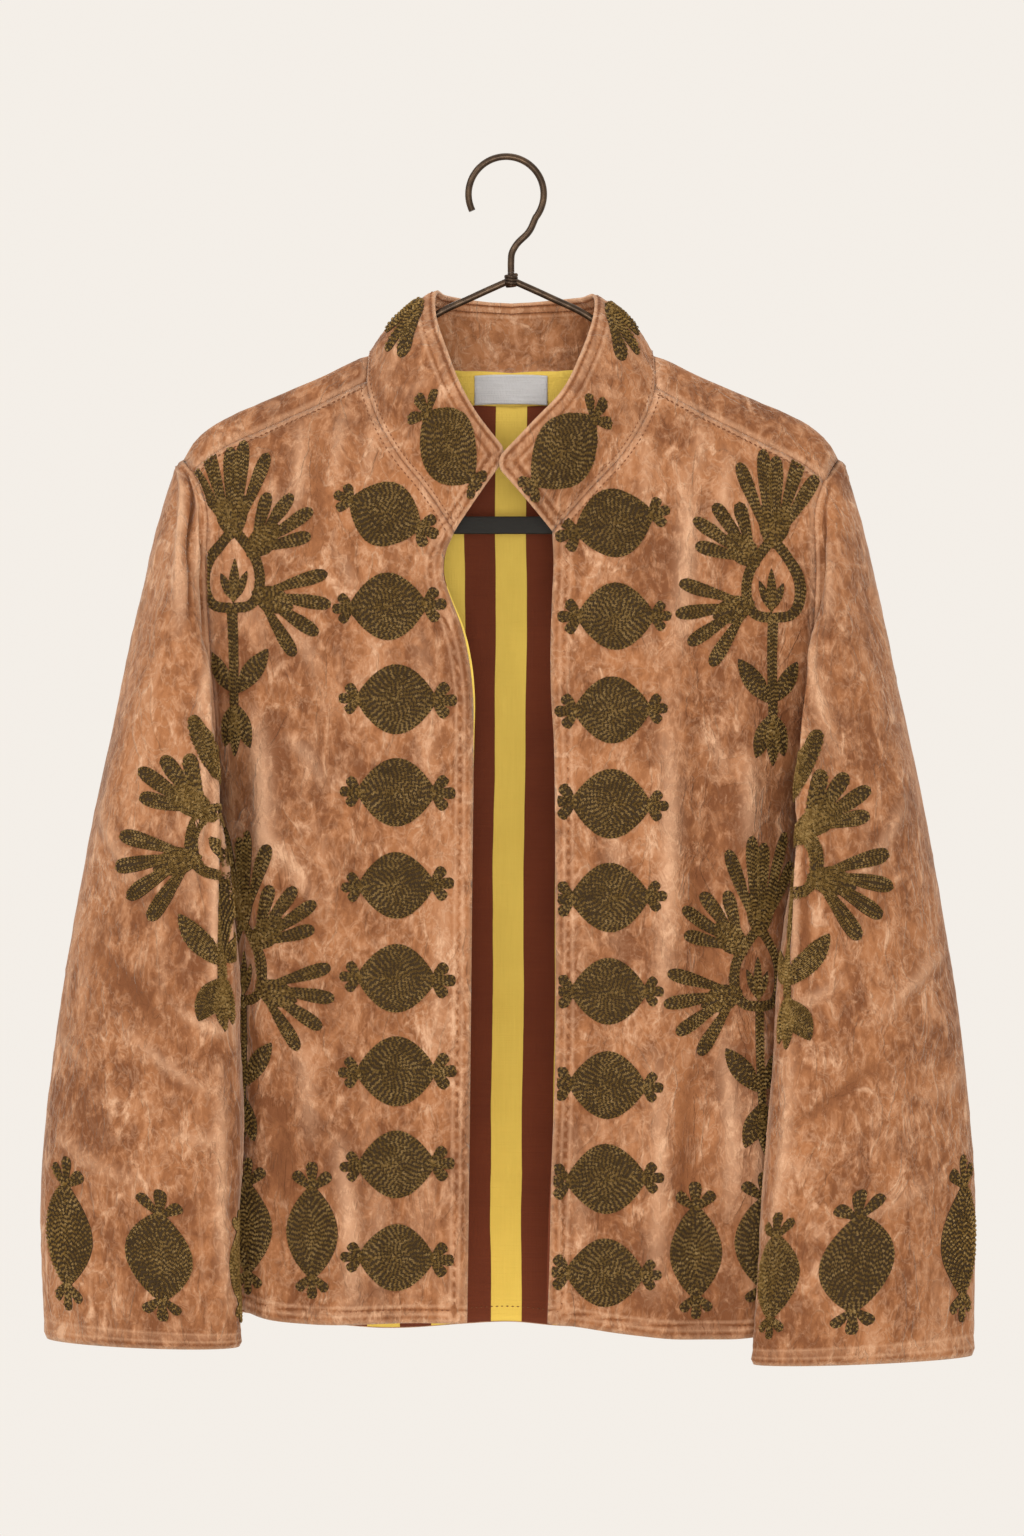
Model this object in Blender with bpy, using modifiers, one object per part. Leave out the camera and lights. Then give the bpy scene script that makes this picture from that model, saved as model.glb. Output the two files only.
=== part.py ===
"""Embroidered velvet jacket hanging open on a wire hanger, built as its cut and sewn pieces.

Blender 4.5 script, metres, +Z up, the front faces -Y. The origin is the inside top of the hanger's hook,
where a rail carries it. Every cloth piece is a wall: an outer surface worked out from short tables of
sizes, and a plain inner surface the wall's thickness behind it. The thick embroidery is raised in the
outer points. Pieces lie SEAM apart where they are sewn together. Sides are -1 for the wearer's right,
which is on the left seen from the front, and 1 for the wearer's left.
"""

import math

import bmesh
import bpy
import numpy as np
from mathutils import Vector
from mathutils.bvhtree import BVHTree
from mathutils.geometry import delaunay_2d_cdt

# Walls, seams and the height of the embroidery
VELVET_WALL = 0.0020
LINING_WALL = 0.0010
COLLAR_WALL = 0.0026
SEAM = 0.0003
RAISE = 0.0011
RAISE_EDGE = 0.0011
PROBE = 0.0004
LEAST_WALL = 0.0006

# The jacket's centre plane lies this far to the side of the hook's inside top
CENTRE_X = 0.0032

# Body: depth of the hanging cloth, how fast it falls open below the shoulder ridge, ridge radius
BODY_DEPTH = 0.058
DRAPE = 0.060
RIDGE_RADIUS = 0.0065
SIDE_DEPTH = 0.052
CROWN = 0.10
UNDERARM_Z = -0.402
UNDERARM_RISE = 0.045


def columns(names, rows):
    """A table as named arrays, one for each column."""
    return dict(zip(names.split(), np.array(rows, float).T))


SHOULDER_RIDGE = columns("out height", [
    (-0.040, -0.1065), (0.000, -0.1035), (0.040, -0.1065), (0.070, -0.1160), (0.094, -0.1270), (0.126, -0.1423),
    (0.144, -0.1500), (0.162, -0.1578), (0.180, -0.1655), (0.194, -0.1730), (0.204, -0.1810),
    (0.210, -0.1885), (0.216, -0.1970), (0.224, -0.2120), (0.240, -0.2500),
])
BODY_SECTIONS = columns("height half roll", [
    (-0.780, 0.190, 0.050), (-0.650, 0.188, 0.050), (-0.560, 0.185, 0.050), (-0.470, 0.187, 0.050),
    (-0.402, 0.196, 0.050), (-0.350, 0.209, 0.054), (-0.300, 0.230, 0.062), (-0.250, 0.268, 0.080),
    (-0.200, 0.330, 0.100), (-0.090, 0.360, 0.110),
])
NECKLINE = columns("height out", [
    (-0.2470, 0.0300), (-0.2330, 0.0400), (-0.2150, 0.0540), (-0.1960, 0.0705),
    (-0.1820, 0.0800), (-0.1660, 0.0880), (-0.1500, 0.0930), (-0.1290, 0.0935),
])
BACK_NECKLINE = columns("down out", [
    (0.0000, 0.0935), (0.0190, 0.0800), (0.0330, 0.0600), (0.0405, 0.0300), (0.0430, 0.0000),
])
ARMHOLE = columns("height out", [
    (-0.3700, 0.1965), (-0.3300, 0.1950), (-0.2800, 0.1945), (-0.2440, 0.1955), (-0.2210, 0.1985),
    (-0.2030, 0.2075), (-0.1950, 0.2145),
])
NECK_SIDE = 0.0935
NECK_FRONT_Z = -0.2440

# Each front: its front edge and hem as seen from the front, and its shoulder seam's ends
FRONT_EDGES = {
    -1: columns("height out", [
        (-0.7520, 0.0285), (-0.6590, 0.0273), (-0.5980, 0.0266), (-0.4680, 0.0253), (-0.3750, 0.0245),
        (-0.3520, 0.0247), (-0.3290, 0.0270), (-0.3060, 0.0320), (-0.2860, 0.0395), (-0.2735, 0.0435),
        (-0.2600, 0.0432), (-0.2440, 0.0370),
    ]),
    1: columns("height out", [
        (-0.7520, 0.0237), (-0.7200, 0.0249), (-0.6590, 0.0262), (-0.5980, 0.0284), (-0.4680, 0.0288),
        (-0.4070, 0.0285), (-0.3750, 0.0278), (-0.3500, 0.0262), (-0.3260, 0.0258), (-0.2850, 0.0269),
        (-0.2650, 0.0278), (-0.2440, 0.0270),
    ]),
}
FRONT_HEMS = {
    -1: columns("across height", [
        (0.020, -0.7510), (0.080, -0.7512), (0.106, -0.7515), (0.130, -0.7520), (0.155, -0.7490),
        (0.175, -0.7440), (0.235, -0.7440),
    ]),
    1: columns("across height", [
        (0.015, -0.7500), (0.040, -0.7530), (0.062, -0.7567), (0.092, -0.7597), (0.121, -0.7617),
        (0.155, -0.7600), (0.235, -0.7440),
    ]),
}
BACK_HEM = columns("across height", [
    (-0.235, -0.7440), (-0.190, -0.7520), (-0.150, -0.7590), (-0.110, -0.7640), (-0.070, -0.7655),
    (-0.032, -0.7640), (0.000, -0.7620), (0.030, -0.7640), (0.080, -0.7665), (0.150, -0.7610),
    (0.190, -0.7530), (0.235, -0.7440),
])
HEM_SIDE_Z = -0.7440
SEAM_AT_NECK = {-1: 0.0175, 1: 0.0220}
SEAM_AT_ARM_Z = {-1: -0.2040, 1: -0.2100}

# Folds of the body: place and height at each end, how proud or, if negative, how deep, and half-width
FOLDS = {
    -1: columns("out_top top out_low low proud width", [
        (0.116, -0.500, 0.104, -0.790, 0.0060, 0.0165),
        (0.140, -0.540, 0.134, -0.790, -0.0040, 0.0160),
        (0.160, -0.330, 0.160, -0.790, 0.0035, 0.0160),
        (0.090, -0.200, 0.076, -0.420, 0.0028, 0.0150),
        (0.134, -0.205, 0.128, -0.400, 0.0030, 0.0150),
        (0.070, -0.480, 0.060, -0.790, -0.0035, 0.0170),
    ]),
    1: columns("out_top top out_low low proud width", [
        (0.108, -0.230, 0.098, -0.790, 0.0050, 0.0160),
        (0.130, -0.300, 0.124, -0.790, -0.0038, 0.0160),
        (0.154, -0.520, 0.150, -0.790, 0.0045, 0.0165),
        (0.078, -0.190, 0.076, -0.420, 0.0028, 0.0150),
        (0.138, -0.225, 0.146, -0.400, 0.0028, 0.0150),
        (0.058, -0.480, 0.056, -0.790, -0.0035, 0.0170),
    ]),
}
BACK_FOLDS = columns("out_top top out_low low proud width", [
    (-0.130, -0.280, -0.140, -0.790, 0.0062, 0.0210),
    (-0.078, -0.340, -0.084, -0.790, -0.0050, 0.0210),
    (-0.030, -0.400, -0.030, -0.790, 0.0055, 0.0210),
    (0.028, -0.320, 0.030, -0.790, -0.0050, 0.0210),
    (0.080, -0.360, 0.088, -0.790, 0.0062, 0.0210),
    (0.132, -0.280, 0.142, -0.790, -0.0050, 0.0210),
])

# Sleeves: the outer and the inner line of the flattened tube and its half depth, from armhole to cuff.
# lean carries the front of the tube over the armhole seam.
SLEEVES = {
    -1: columns("share outer_x outer_y outer_z inner_x inner_y inner_z half_depth lean", [
        (0.00, 0.2145, 0.000, -0.1950, 0.2010, 0.000, -0.4020, 0.034, 0.000),
        (0.06, 0.2220, -0.002, -0.2120, 0.2080, -0.006, -0.4120, 0.046, 0.010),
        (0.12, 0.2305, -0.004, -0.2400, 0.2050, -0.018, -0.4250, 0.052, 0.022),
        (0.20, 0.2395, -0.006, -0.2820, 0.1960, -0.034, -0.4450, 0.054, 0.022),
        (0.30, 0.2505, -0.008, -0.3370, 0.1880, -0.046, -0.4750, 0.051, 0.014),
        (0.42, 0.2650, -0.010, -0.4080, 0.1835, -0.056, -0.5180, 0.047, 0.006),
        (0.55, 0.2800, -0.012, -0.4900, 0.1805, -0.063, -0.5700, 0.042, 0.002),
        (0.70, 0.2930, -0.016, -0.5750, 0.1775, -0.068, -0.6300, 0.038, 0.000),
        (0.85, 0.3020, -0.020, -0.6650, 0.1755, -0.071, -0.6960, 0.035, 0.000),
        (1.00, 0.2990, -0.024, -0.7630, 0.1730, -0.073, -0.7640, 0.033, 0.000),
    ]),
    1: columns("share outer_x outer_y outer_z inner_x inner_y inner_z half_depth lean", [
        (0.00, 0.2145, 0.000, -0.1950, 0.2010, 0.000, -0.4020, 0.034, 0.000),
        (0.06, 0.2210, -0.002, -0.2120, 0.2070, -0.008, -0.4120, 0.046, 0.014),
        (0.12, 0.2290, -0.004, -0.2400, 0.2050, -0.024, -0.4250, 0.048, 0.026),
        (0.20, 0.2385, -0.006, -0.2820, 0.1930, -0.046, -0.4450, 0.048, 0.030),
        (0.30, 0.2495, -0.008, -0.3370, 0.1820, -0.059, -0.4750, 0.045, 0.020),
        (0.42, 0.2640, -0.010, -0.4080, 0.1725, -0.065, -0.5180, 0.042, 0.008),
        (0.55, 0.2780, -0.012, -0.4900, 0.1690, -0.071, -0.5700, 0.038, 0.003),
        (0.70, 0.2905, -0.016, -0.5750, 0.1655, -0.075, -0.6300, 0.034, 0.000),
        (0.85, 0.2985, -0.020, -0.6700, 0.1590, -0.077, -0.7000, 0.030, 0.000),
        (1.00, 0.2980, -0.024, -0.7745, 0.1535, -0.077, -0.7745, 0.026, 0.000),
    ]),
}
SLEEVE_AROUND = 0.340
SLEEVE_LENGTH = 0.560
SLEEVE_BLEND = 0.16
SLEEVE_FOLDS = columns("round_top top round_low low proud width", [
    (0.120, 0.03, 0.150, 0.55, 0.0050, 0.0180),
    (0.215, 0.03, 0.245, 0.45, -0.0045, 0.0180),
    (0.310, 0.04, 0.325, 0.50, 0.0040, 0.0180),
    (0.700, 0.05, 0.680, 0.70, -0.0045, 0.0190),
    (0.800, 0.05, 0.790, 0.60, 0.0050, 0.0190),
])

# Collar: its top edge from the front corner (0) to the centre back (1)
COLLAR_TOPS = {
    -1: columns("share out y height", [
        (0.00, 0.0015, -0.0500, -0.1945), (0.13, 0.0215, -0.0475, -0.1690), (0.24, 0.0325, -0.0415, -0.1495),
        (0.36, 0.0412, -0.0320, -0.1270), (0.47, 0.0490, -0.0140, -0.1020), (0.56, 0.0495, 0.0070, -0.0842),
        (0.66, 0.0440, 0.0260, -0.0850), (0.78, 0.0300, 0.0400, -0.0868), (0.90, 0.0130, 0.0470, -0.0886),
        (1.00, 0.0000, 0.0485, -0.0894),
    ]),
    1: columns("share out y height", [
        (0.00, -0.0110, -0.0630, -0.2010), (0.13, 0.0150, -0.0570, -0.1735), (0.24, 0.0330, -0.0470, -0.1535),
        (0.36, 0.0450, -0.0350, -0.1290), (0.47, 0.0535, -0.0150, -0.1035), (0.56, 0.0550, 0.0070, -0.0866),
        (0.66, 0.0470, 0.0260, -0.0865), (0.78, 0.0310, 0.0400, -0.0872), (0.90, 0.0130, 0.0470, -0.0886),
        (1.00, 0.0000, 0.0485, -0.0894),
    ]),
}
COLLAR_HALF = 0.262
COLLAR_HEIGHT = 0.057
COLLAR_BULGE = 0.0055
COLLAR_CORNER = 0.009

# Lining, facing and label
FACING_HALF = 0.070
FACING_HEIGHT = 0.0205
LABEL_HALF = 0.0240
LABEL_HEIGHT = 0.0195
LABEL_WALL = 0.0008

# Each piece's plain points: the spacing across and the rows, which a velvet and its lining share
GRID_CLEAR = 0.0040
FRONT_FINE = ((0.0125, np.linspace(-0.725, -0.155, 22)),)
FRONT_GRID = ((0.0125, (-0.700, -0.635, -0.570, -0.505, -0.440, -0.375, -0.310, -0.255, -0.205, -0.165)),)
BACK_GRID = (
    (0.0300, (-0.012, -0.004, 0.000, 0.004, 0.012, 0.026, 0.047, 0.054, 0.061, 0.069, 0.100)),
    (0.0180, (0.145, 0.225, 0.315, 0.405, 0.495, 0.580)),
)
SLEEVE_GRID = (
    (0.0170, (0.006, 0.014, 0.026, 0.046, 0.080, 0.125, 0.180, 0.240, 0.305, 0.370, 0.440, 0.510)),
)
COLLAR_GRID = ((0.0150, (0.0145, 0.0290, 0.0435)),)
NECK_GRID = ((0.0117, (0.051, 0.058)),)

# Embroidery: the rows of pomegranates beside the front edges and on the hems, and the leaf sprays
ROW_TOP = {-1: -0.2326, 1: -0.2384}
ROW_STEP = {-1: 0.0596, 1: 0.0601}
ROW_OUT = {-1: 0.0700, 1: 0.0690}
ROW_LEAN = {-1: 0.0000, 1: -0.0008}
ROW_TURN = {-1: 22.0, 1: 14.0}
HEM_FRUIT = {-1: ((0.1274, -0.6934), (0.1700, -0.6914)), 1: ((0.1184, -0.7062), (0.1600, -0.6998))}
SPRAYS = {-1: ((0.1786, -0.3555), (0.1760, -0.6080)), 1: ((0.1683, -0.3619), (0.1606, -0.6115))}
BACK_HEM_FRUIT = (-0.196, -0.140, -0.084, -0.028, 0.028, 0.084, 0.140, 0.196)
CUFF_FRUIT = {-1: (0.155, 0.322, 0.520, 0.700, 0.900), 1: (0.105, 0.295, 0.440, 0.620, 0.810)}
SPRAY_DOWN = {-1: 0.280, 1: 0.294}
SPRAY_FANS = columns("x y turn fingers spread reach notch", [
    (0.0000, 0.1120, -3.0, 4, 62.0, 0.0580, 0.0300),
    (0.0135, 0.0980, 46.0, 4, 66.0, 0.0450, 0.0220),
    (0.0175, 0.0700, 110.0, 4, 90.0, 0.0460, 0.0220),
])
SPRAY_LEAVES = columns("x y turn length width", [
    (0.0000, 0.0740, 3.0, 0.0240, 0.0100), (0.0040, 0.0100, 33.0, 0.0310, 0.0120),
    (-0.0010, 0.0090, -22.0, 0.0290, 0.0110), (0.0000, -0.0030, 194.0, 0.0210, 0.0085),
    (0.0010, -0.0030, 177.0, 0.0295, 0.0085), (0.0020, -0.0020, 153.0, 0.0260, 0.0085),
])
SPRAY_STEM = np.array([
    (0.0022, 0.068), (0.0032, 0.032), (0.0022, -0.004), (-0.0022, -0.004), (-0.0012, 0.032), (-0.0022, 0.068),
])

# Hanger
WIRE_RADIUS = 0.00225
HOOK_RADIUS = 0.0245
WRAP_TOP = -0.0735
WRAP_LOW = -0.0830
WRAP_RADIUS = 0.0046
BAR_CENTRE_Z = -0.2378
BAR_HEIGHT = 0.0115
BAR_THICK = 0.0030
BAR_HALF = 0.1820
ARM_OUT = 0.1900
ARM_TURN = 0.0095

# Colours
VELVET_COLOUR = (0.40, 0.18, 0.09)
LINING_COLOUR = (0.13, 0.03, 0.012)
FACING_COLOUR = (0.55, 0.38, 0.07)
LABEL_COLOUR = (0.50, 0.49, 0.49)
METAL_COLOUR = (0.09, 0.065, 0.045)
BAR_COLOUR = (0.02, 0.02, 0.02)


def follow(table, key, wanted, at):
    """A smooth curve through one column of a table, read at places along another column."""
    xs, ys = table[key], table[wanted]
    at = np.clip(np.asarray(at, float), xs[0], xs[-1])
    slope = np.gradient(ys, xs)
    i = np.clip(np.searchsorted(xs, at) - 1, 0, len(xs) - 2)
    step = xs[i + 1] - xs[i]
    t = (at - xs[i]) / step
    return (
        ys[i] * (1 + 2 * t) * (1 - t) ** 2
        + ys[i + 1] * (3 - 2 * t) * t**2
        + step * (slope[i] * t * (1 - t) ** 2 - slope[i + 1] * t**2 * (1 - t))
    )


def ease(t):
    """0 to 1 with level ends."""
    t = np.clip(t, 0.0, 1.0)
    return t * t * (3 - 2 * t)


def unit(vectors):
    return vectors / np.maximum(np.linalg.norm(vectors, axis=-1, keepdims=True), 1e-15)


# The body


def ridge_height(x):
    return follow(SHOULDER_RIDGE, "out", "height", np.abs(x))


def side_turn(z):
    """Half-width without the side roll, the roll's radius, and cloth per radian round the roll."""
    half = follow(BODY_SECTIONS, "height", "half", z)
    roll = follow(BODY_SECTIONS, "height", "roll", z)
    return half - roll, roll, (roll + SIDE_DEPTH) / 2


def side_seam(z):
    """Cloth from the centre to the side seam, at a height."""
    flat, _, per_radian = side_turn(z)
    return flat + per_radian * math.pi / 2


def roll_angle(w, z):
    flat, _, per_radian = side_turn(z)
    return np.maximum((np.abs(w) - flat) / per_radian, 0.0)


def across_body(w, z):
    """x, and the share of the body's depth, at w metres of cloth from the centre."""
    flat, roll, _ = side_turn(z)
    angle = roll_angle(w, z)
    x = np.where(angle > 0, flat + roll * np.sin(angle), np.abs(w))
    return np.sign(w) * x, np.cos(angle) * (1 - CROWN * (x / (flat + roll)) ** 2)


def down_from_ridge(w, z):
    """Length of cloth from the shoulder ridge down to a height."""
    x, _ = across_body(w, z)
    drop = np.maximum(ridge_height(x) - z, 0.0) + RIDGE_RADIUS
    return np.sqrt(drop**2 - RIDGE_RADIUS**2)


def body_point(w, down, z, relief):
    """A point of the body; down is negative at the front. relief moves it out."""
    x, share = across_body(w, z)
    y = BODY_DEPTH * share * down / (np.abs(down) + DRAPE)
    angle = roll_angle(w, z)
    x = x + np.sign(w) * np.sin(angle) * relief
    y = y + np.sign(down) * np.cos(angle) * relief
    return np.stack([x, y, z], axis=-1)


def fold_relief(table, across, height):
    """How far the folds of a table move the body's cloth out."""
    relief = np.zeros_like(across)
    for i in range(len(table["proud"])):
        t = (height - table["top"][i]) / (table["low"][i] - table["top"][i])
        place = table["out_top"][i] * (1 - t) + table["out_low"][i] * t
        fade = ease(t / 0.30) * ease((1.15 - t) / 0.15)
        relief += table["proud"][i] * fade * np.exp(-(((across - place) / table["width"][i]) ** 2))
    return relief


def seam_fade(w, z):
    """Keeps folds off the side seam."""
    return ease((side_seam(z) - np.abs(w)) / 0.040)


def front_surface(side):
    def surface(p):
        w, z = p[:, 0], p[:, 1]
        relief = fold_relief(FOLDS[side], np.abs(w), z) * seam_fade(w, z)
        return body_point(w, -np.maximum(down_from_ridge(w, z), 1e-6), z, relief)

    return surface


def back_surface(p):
    """The back's domain is cloth across and cloth down from the ridge, negative over the front."""
    w, down = p[:, 0], p[:, 1]
    drop = np.sqrt(down**2 + RIDGE_RADIUS**2) - RIDGE_RADIUS
    z = ridge_height(w) - drop
    for _ in range(5):
        x, _ = across_body(w, z)
        z = ridge_height(x) - drop
    relief = fold_relief(BACK_FOLDS, w, z) * seam_fade(w, z) * (down > 0)
    return body_point(w, down, z, relief)


def surface_normals(surface, points, out):
    along = surface(points + (PROBE, 0)) - surface(points - (PROBE, 0))
    down = surface(points + (0, PROBE)) - surface(points - (0, PROBE))
    return unit(np.cross(along, down) * out)


# Lines in a panel's domain


def respace(line, step):
    """An open line resampled at about the given step."""
    length = np.concatenate([[0], np.cumsum(np.linalg.norm(np.diff(line, axis=0), axis=1))])
    count = max(int(round(length[-1] / step)), 1)
    at = np.linspace(0, length[-1], count + 1)
    return np.stack([np.interp(at, length, line[:, k]) for k in range(line.shape[1])], axis=-1)


def chained(lines):
    """A closed loop from lines that meet end to end."""
    return np.concatenate([np.asarray(line, float)[:-1] for line in lines])


def signed_area(loop):
    x, y = loop[:, 0], loop[:, 1]
    return 0.5 * float(np.sum(x * np.roll(y, -1) - np.roll(x, -1) * y))


def inside_distance(points, loop):
    """Distance of points to a closed loop, positive inside it, and the nearest points on the loop."""
    a = loop[None, :, :]
    edge = (np.roll(loop, -1, axis=0) - loop)[None, :, :]
    away = points[:, None, :] - a
    t = np.clip((away * edge).sum(-1) / np.maximum((edge * edge).sum(-1), 1e-18), 0, 1)
    near = a + t[..., None] * edge
    distance = np.linalg.norm(points[:, None, :] - near, axis=-1)
    best = distance.argmin(axis=1)
    rows = np.arange(len(points))
    b = np.roll(loop, -1, axis=0)[None, :, :]
    straddles = (a[..., 1] > points[:, None, 1]) != (b[..., 1] > points[:, None, 1])
    rise = np.where(straddles, b[..., 1] - a[..., 1], 1.0)
    cut = a[..., 0] + (points[:, None, 1] - a[..., 1]) / rise * (b[..., 0] - a[..., 0])
    inside = (straddles & (points[:, None, 0] < cut)).sum(axis=1) % 2 == 1
    return np.where(inside, 1, -1) * distance[rows, best], near[rows, best]


def inward(loop, by):
    """The loop moved inwards."""
    along = unit(np.roll(loop, -1, axis=0) - loop)
    along = unit(along + np.roll(along, 1, axis=0))
    normal = np.stack([-along[:, 1], along[:, 0]], axis=-1)
    return loop + normal * (by if signed_area(loop) > 0 else -by)


def kept_inside(loop, edge, margin):
    """A motif's loop with whatever crosses the panel's edge drawn back inside it."""
    distance, _ = inside_distance(loop, edge)
    if (distance > margin).all():
        return loop
    if (distance < margin).mean() > 0.6:
        return loop[:0]
    _, held = inside_distance(loop, inward(edge, margin))
    moved = np.where((distance > margin)[:, None], loop, held)
    keep = np.linalg.norm(moved - np.roll(moved, 1, axis=0), axis=1) > 0.0006
    return moved[keep]


# Embroidery outlines, each drawn round the origin with its axis along +Y


def trefoil(centre_y, notch, tip, up):
    """Three lobes round a point on the axis, from the right-hand side to the left."""
    angle = np.radians([100, 68, 34, 0, -34, -68, -100])
    reach = np.where(np.arange(7) % 2 == 0, notch, tip)
    return np.stack([reach * np.sin(angle), centre_y + up * reach * np.cos(angle)], axis=-1)


def pomegranate(length, width, crown, tail):
    """A fruit with pointed ends, a three-lobed crown above and a three-lobed leaf below."""
    t = np.linspace(-0.80, 0.80, 4)
    side = np.stack([width / 2 * np.cos(t * math.pi / 2) ** 0.85, t * length / 1.84], axis=-1)
    top = trefoil(length / 2 + crown * 0.30, crown * 0.42, crown, 1)
    low = trefoil(-length / 2 - tail * 0.30, tail * 0.42, tail, -1)
    return np.concatenate([side, top, (side * (-1, 1))[::-1], low[::-1]])


def leaf(length, width):
    """A pointed oval from the origin upwards."""
    t = np.linspace(0, math.pi, 5)[1:-1]
    right = np.stack([width / 2 * np.sin(t), length * (1 - np.cos(t)) / 2], axis=-1)
    return np.concatenate([[(0, 0)], right, [(0, length)], (right * (-1, 1))[::-1]])


def fan(fingers, spread, reach, notch):
    """Fingers spread from a hub at the origin, the middle ones longest."""
    half = math.radians(spread) / 2
    points = [(-0.003, 0.0)]
    for step in range(3 * fingers + 1):
        angle = half * (step / (1.5 * fingers) - 1)
        lobe = 0.0 if step % 3 == 0 else 0.95
        length = reach * (1 - 0.18 * abs(angle / half))
        r = notch + (length - notch) * lobe
        points.append((r * math.sin(angle), r * math.cos(angle)))
    return np.array([*points, (0.003, 0.0)])


def placed(outline, at, turn=0.0, flip=1):
    """An outline turned clockwise by degrees, mirrored if flip is -1, and moved."""
    angle = math.radians(turn)
    x, y = outline[:, 0], outline[:, 1]
    turned = np.stack([
        x * math.cos(angle) + y * math.sin(angle), y * math.cos(angle) - x * math.sin(angle)
    ], axis=-1)
    return turned * (flip, 1) + np.array(at)


def spray(flip, scale=1.0):
    """The outlines of one leaf spray round its lower hub; it opens towards +X, or -X if flip is -1."""
    found = []
    for row in zip(*SPRAY_FANS.values()):
        x, y, turn, fingers, spread, reach, notch = row
        found.append(placed(fan(int(fingers), spread, reach, notch), (x, y), turn))
    for x, y, turn, length, width in zip(*SPRAY_LEAVES.values()):
        found.append(placed(leaf(length, width), (x, y), turn))
    found.append(SPRAY_STEM)
    return [placed(shape * scale, (0, 0), 0, flip) for shape in found]


def hem_fruit():
    return pomegranate(0.0595, 0.0340, 0.0165, 0.0138)


# Walls


def filled(edge, loops, zones):
    """Triangles that fill a closed edge and keep the loops' lines, with the edge's places among the points."""
    low, high = edge[:, 0].min(), edge[:, 0].max()
    grid = []
    for step, rows in zones:
        xs = np.linspace(low, high, max(round((high - low) / step), 1) + 1)
        grid += [(x, y) for x in xs for y in rows]
    grid = np.array(grid)
    grid = grid[inside_distance(grid, edge)[0] > GRID_CLEAR]
    for loop in loops:
        near = ((grid > loop.min(axis=0) - GRID_CLEAR) & (grid < loop.max(axis=0) + GRID_CLEAR)).all(axis=1)
        if near.any():
            distance = np.ones(len(grid))
            distance[near] = np.abs(inside_distance(grid[near], loop)[0])
            grid = grid[distance > GRID_CLEAR * 0.6]
    points = [edge, *loops, grid]
    starts = np.cumsum([0] + [len(p) for p in points])
    lines = []
    for loop, start in zip([edge, *loops], starts):
        n = len(loop)
        lines += [(int(start + i), int(start + (i + 1) % n)) for i in range(n)]
    flat = [Vector(p) for p in np.concatenate(points)]
    made, _, faces, sources, _, _ = delaunay_2d_cdt(flat, lines, [], 1, 1e-6)
    place = {source: i for i, found in enumerate(sources) for source in found}
    return np.array([tuple(v) for v in made]), [tuple(f) for f in faces], [place[i] for i in range(len(edge))]


def raised(points, motifs):
    """How far the embroidery lifts points, sloping up from each outline."""
    lift = np.zeros(len(points))
    for loop in motifs:
        near = ((points >= loop.min(axis=0) - 1e-6) & (points <= loop.max(axis=0) + 1e-6)).all(axis=1)
        if near.any():
            distance = inside_distance(points[near], loop)[0]
            lift[near] = np.maximum(lift[near], RAISE * np.clip(distance / RAISE_EDGE, 0, 1))
    return lift


def kept_clear(outer, faces, outwards, inner, inner_faces, twins):
    """The outer points, moved out a little wherever a long face would dip through the inner surface.

    twins are the pairs of points that a tube's seam brings together.
    """
    within = BVHTree.FromPolygons(inner.tolist(), inner_faces)
    faces = np.array(faces)
    for _ in range(6):
        cut = {a for a, _ in BVHTree.FromPolygons(outer.tolist(), faces.tolist()).overlap(within)}
        if not cut:
            break
        touched = set(faces[sorted(cut)].ravel().tolist())
        touched.update(i for pair in twins if touched & set(pair) for i in pair)
        touched = sorted(touched)
        outer[touched] += outwards[touched] * 0.0003
    return outer


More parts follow.
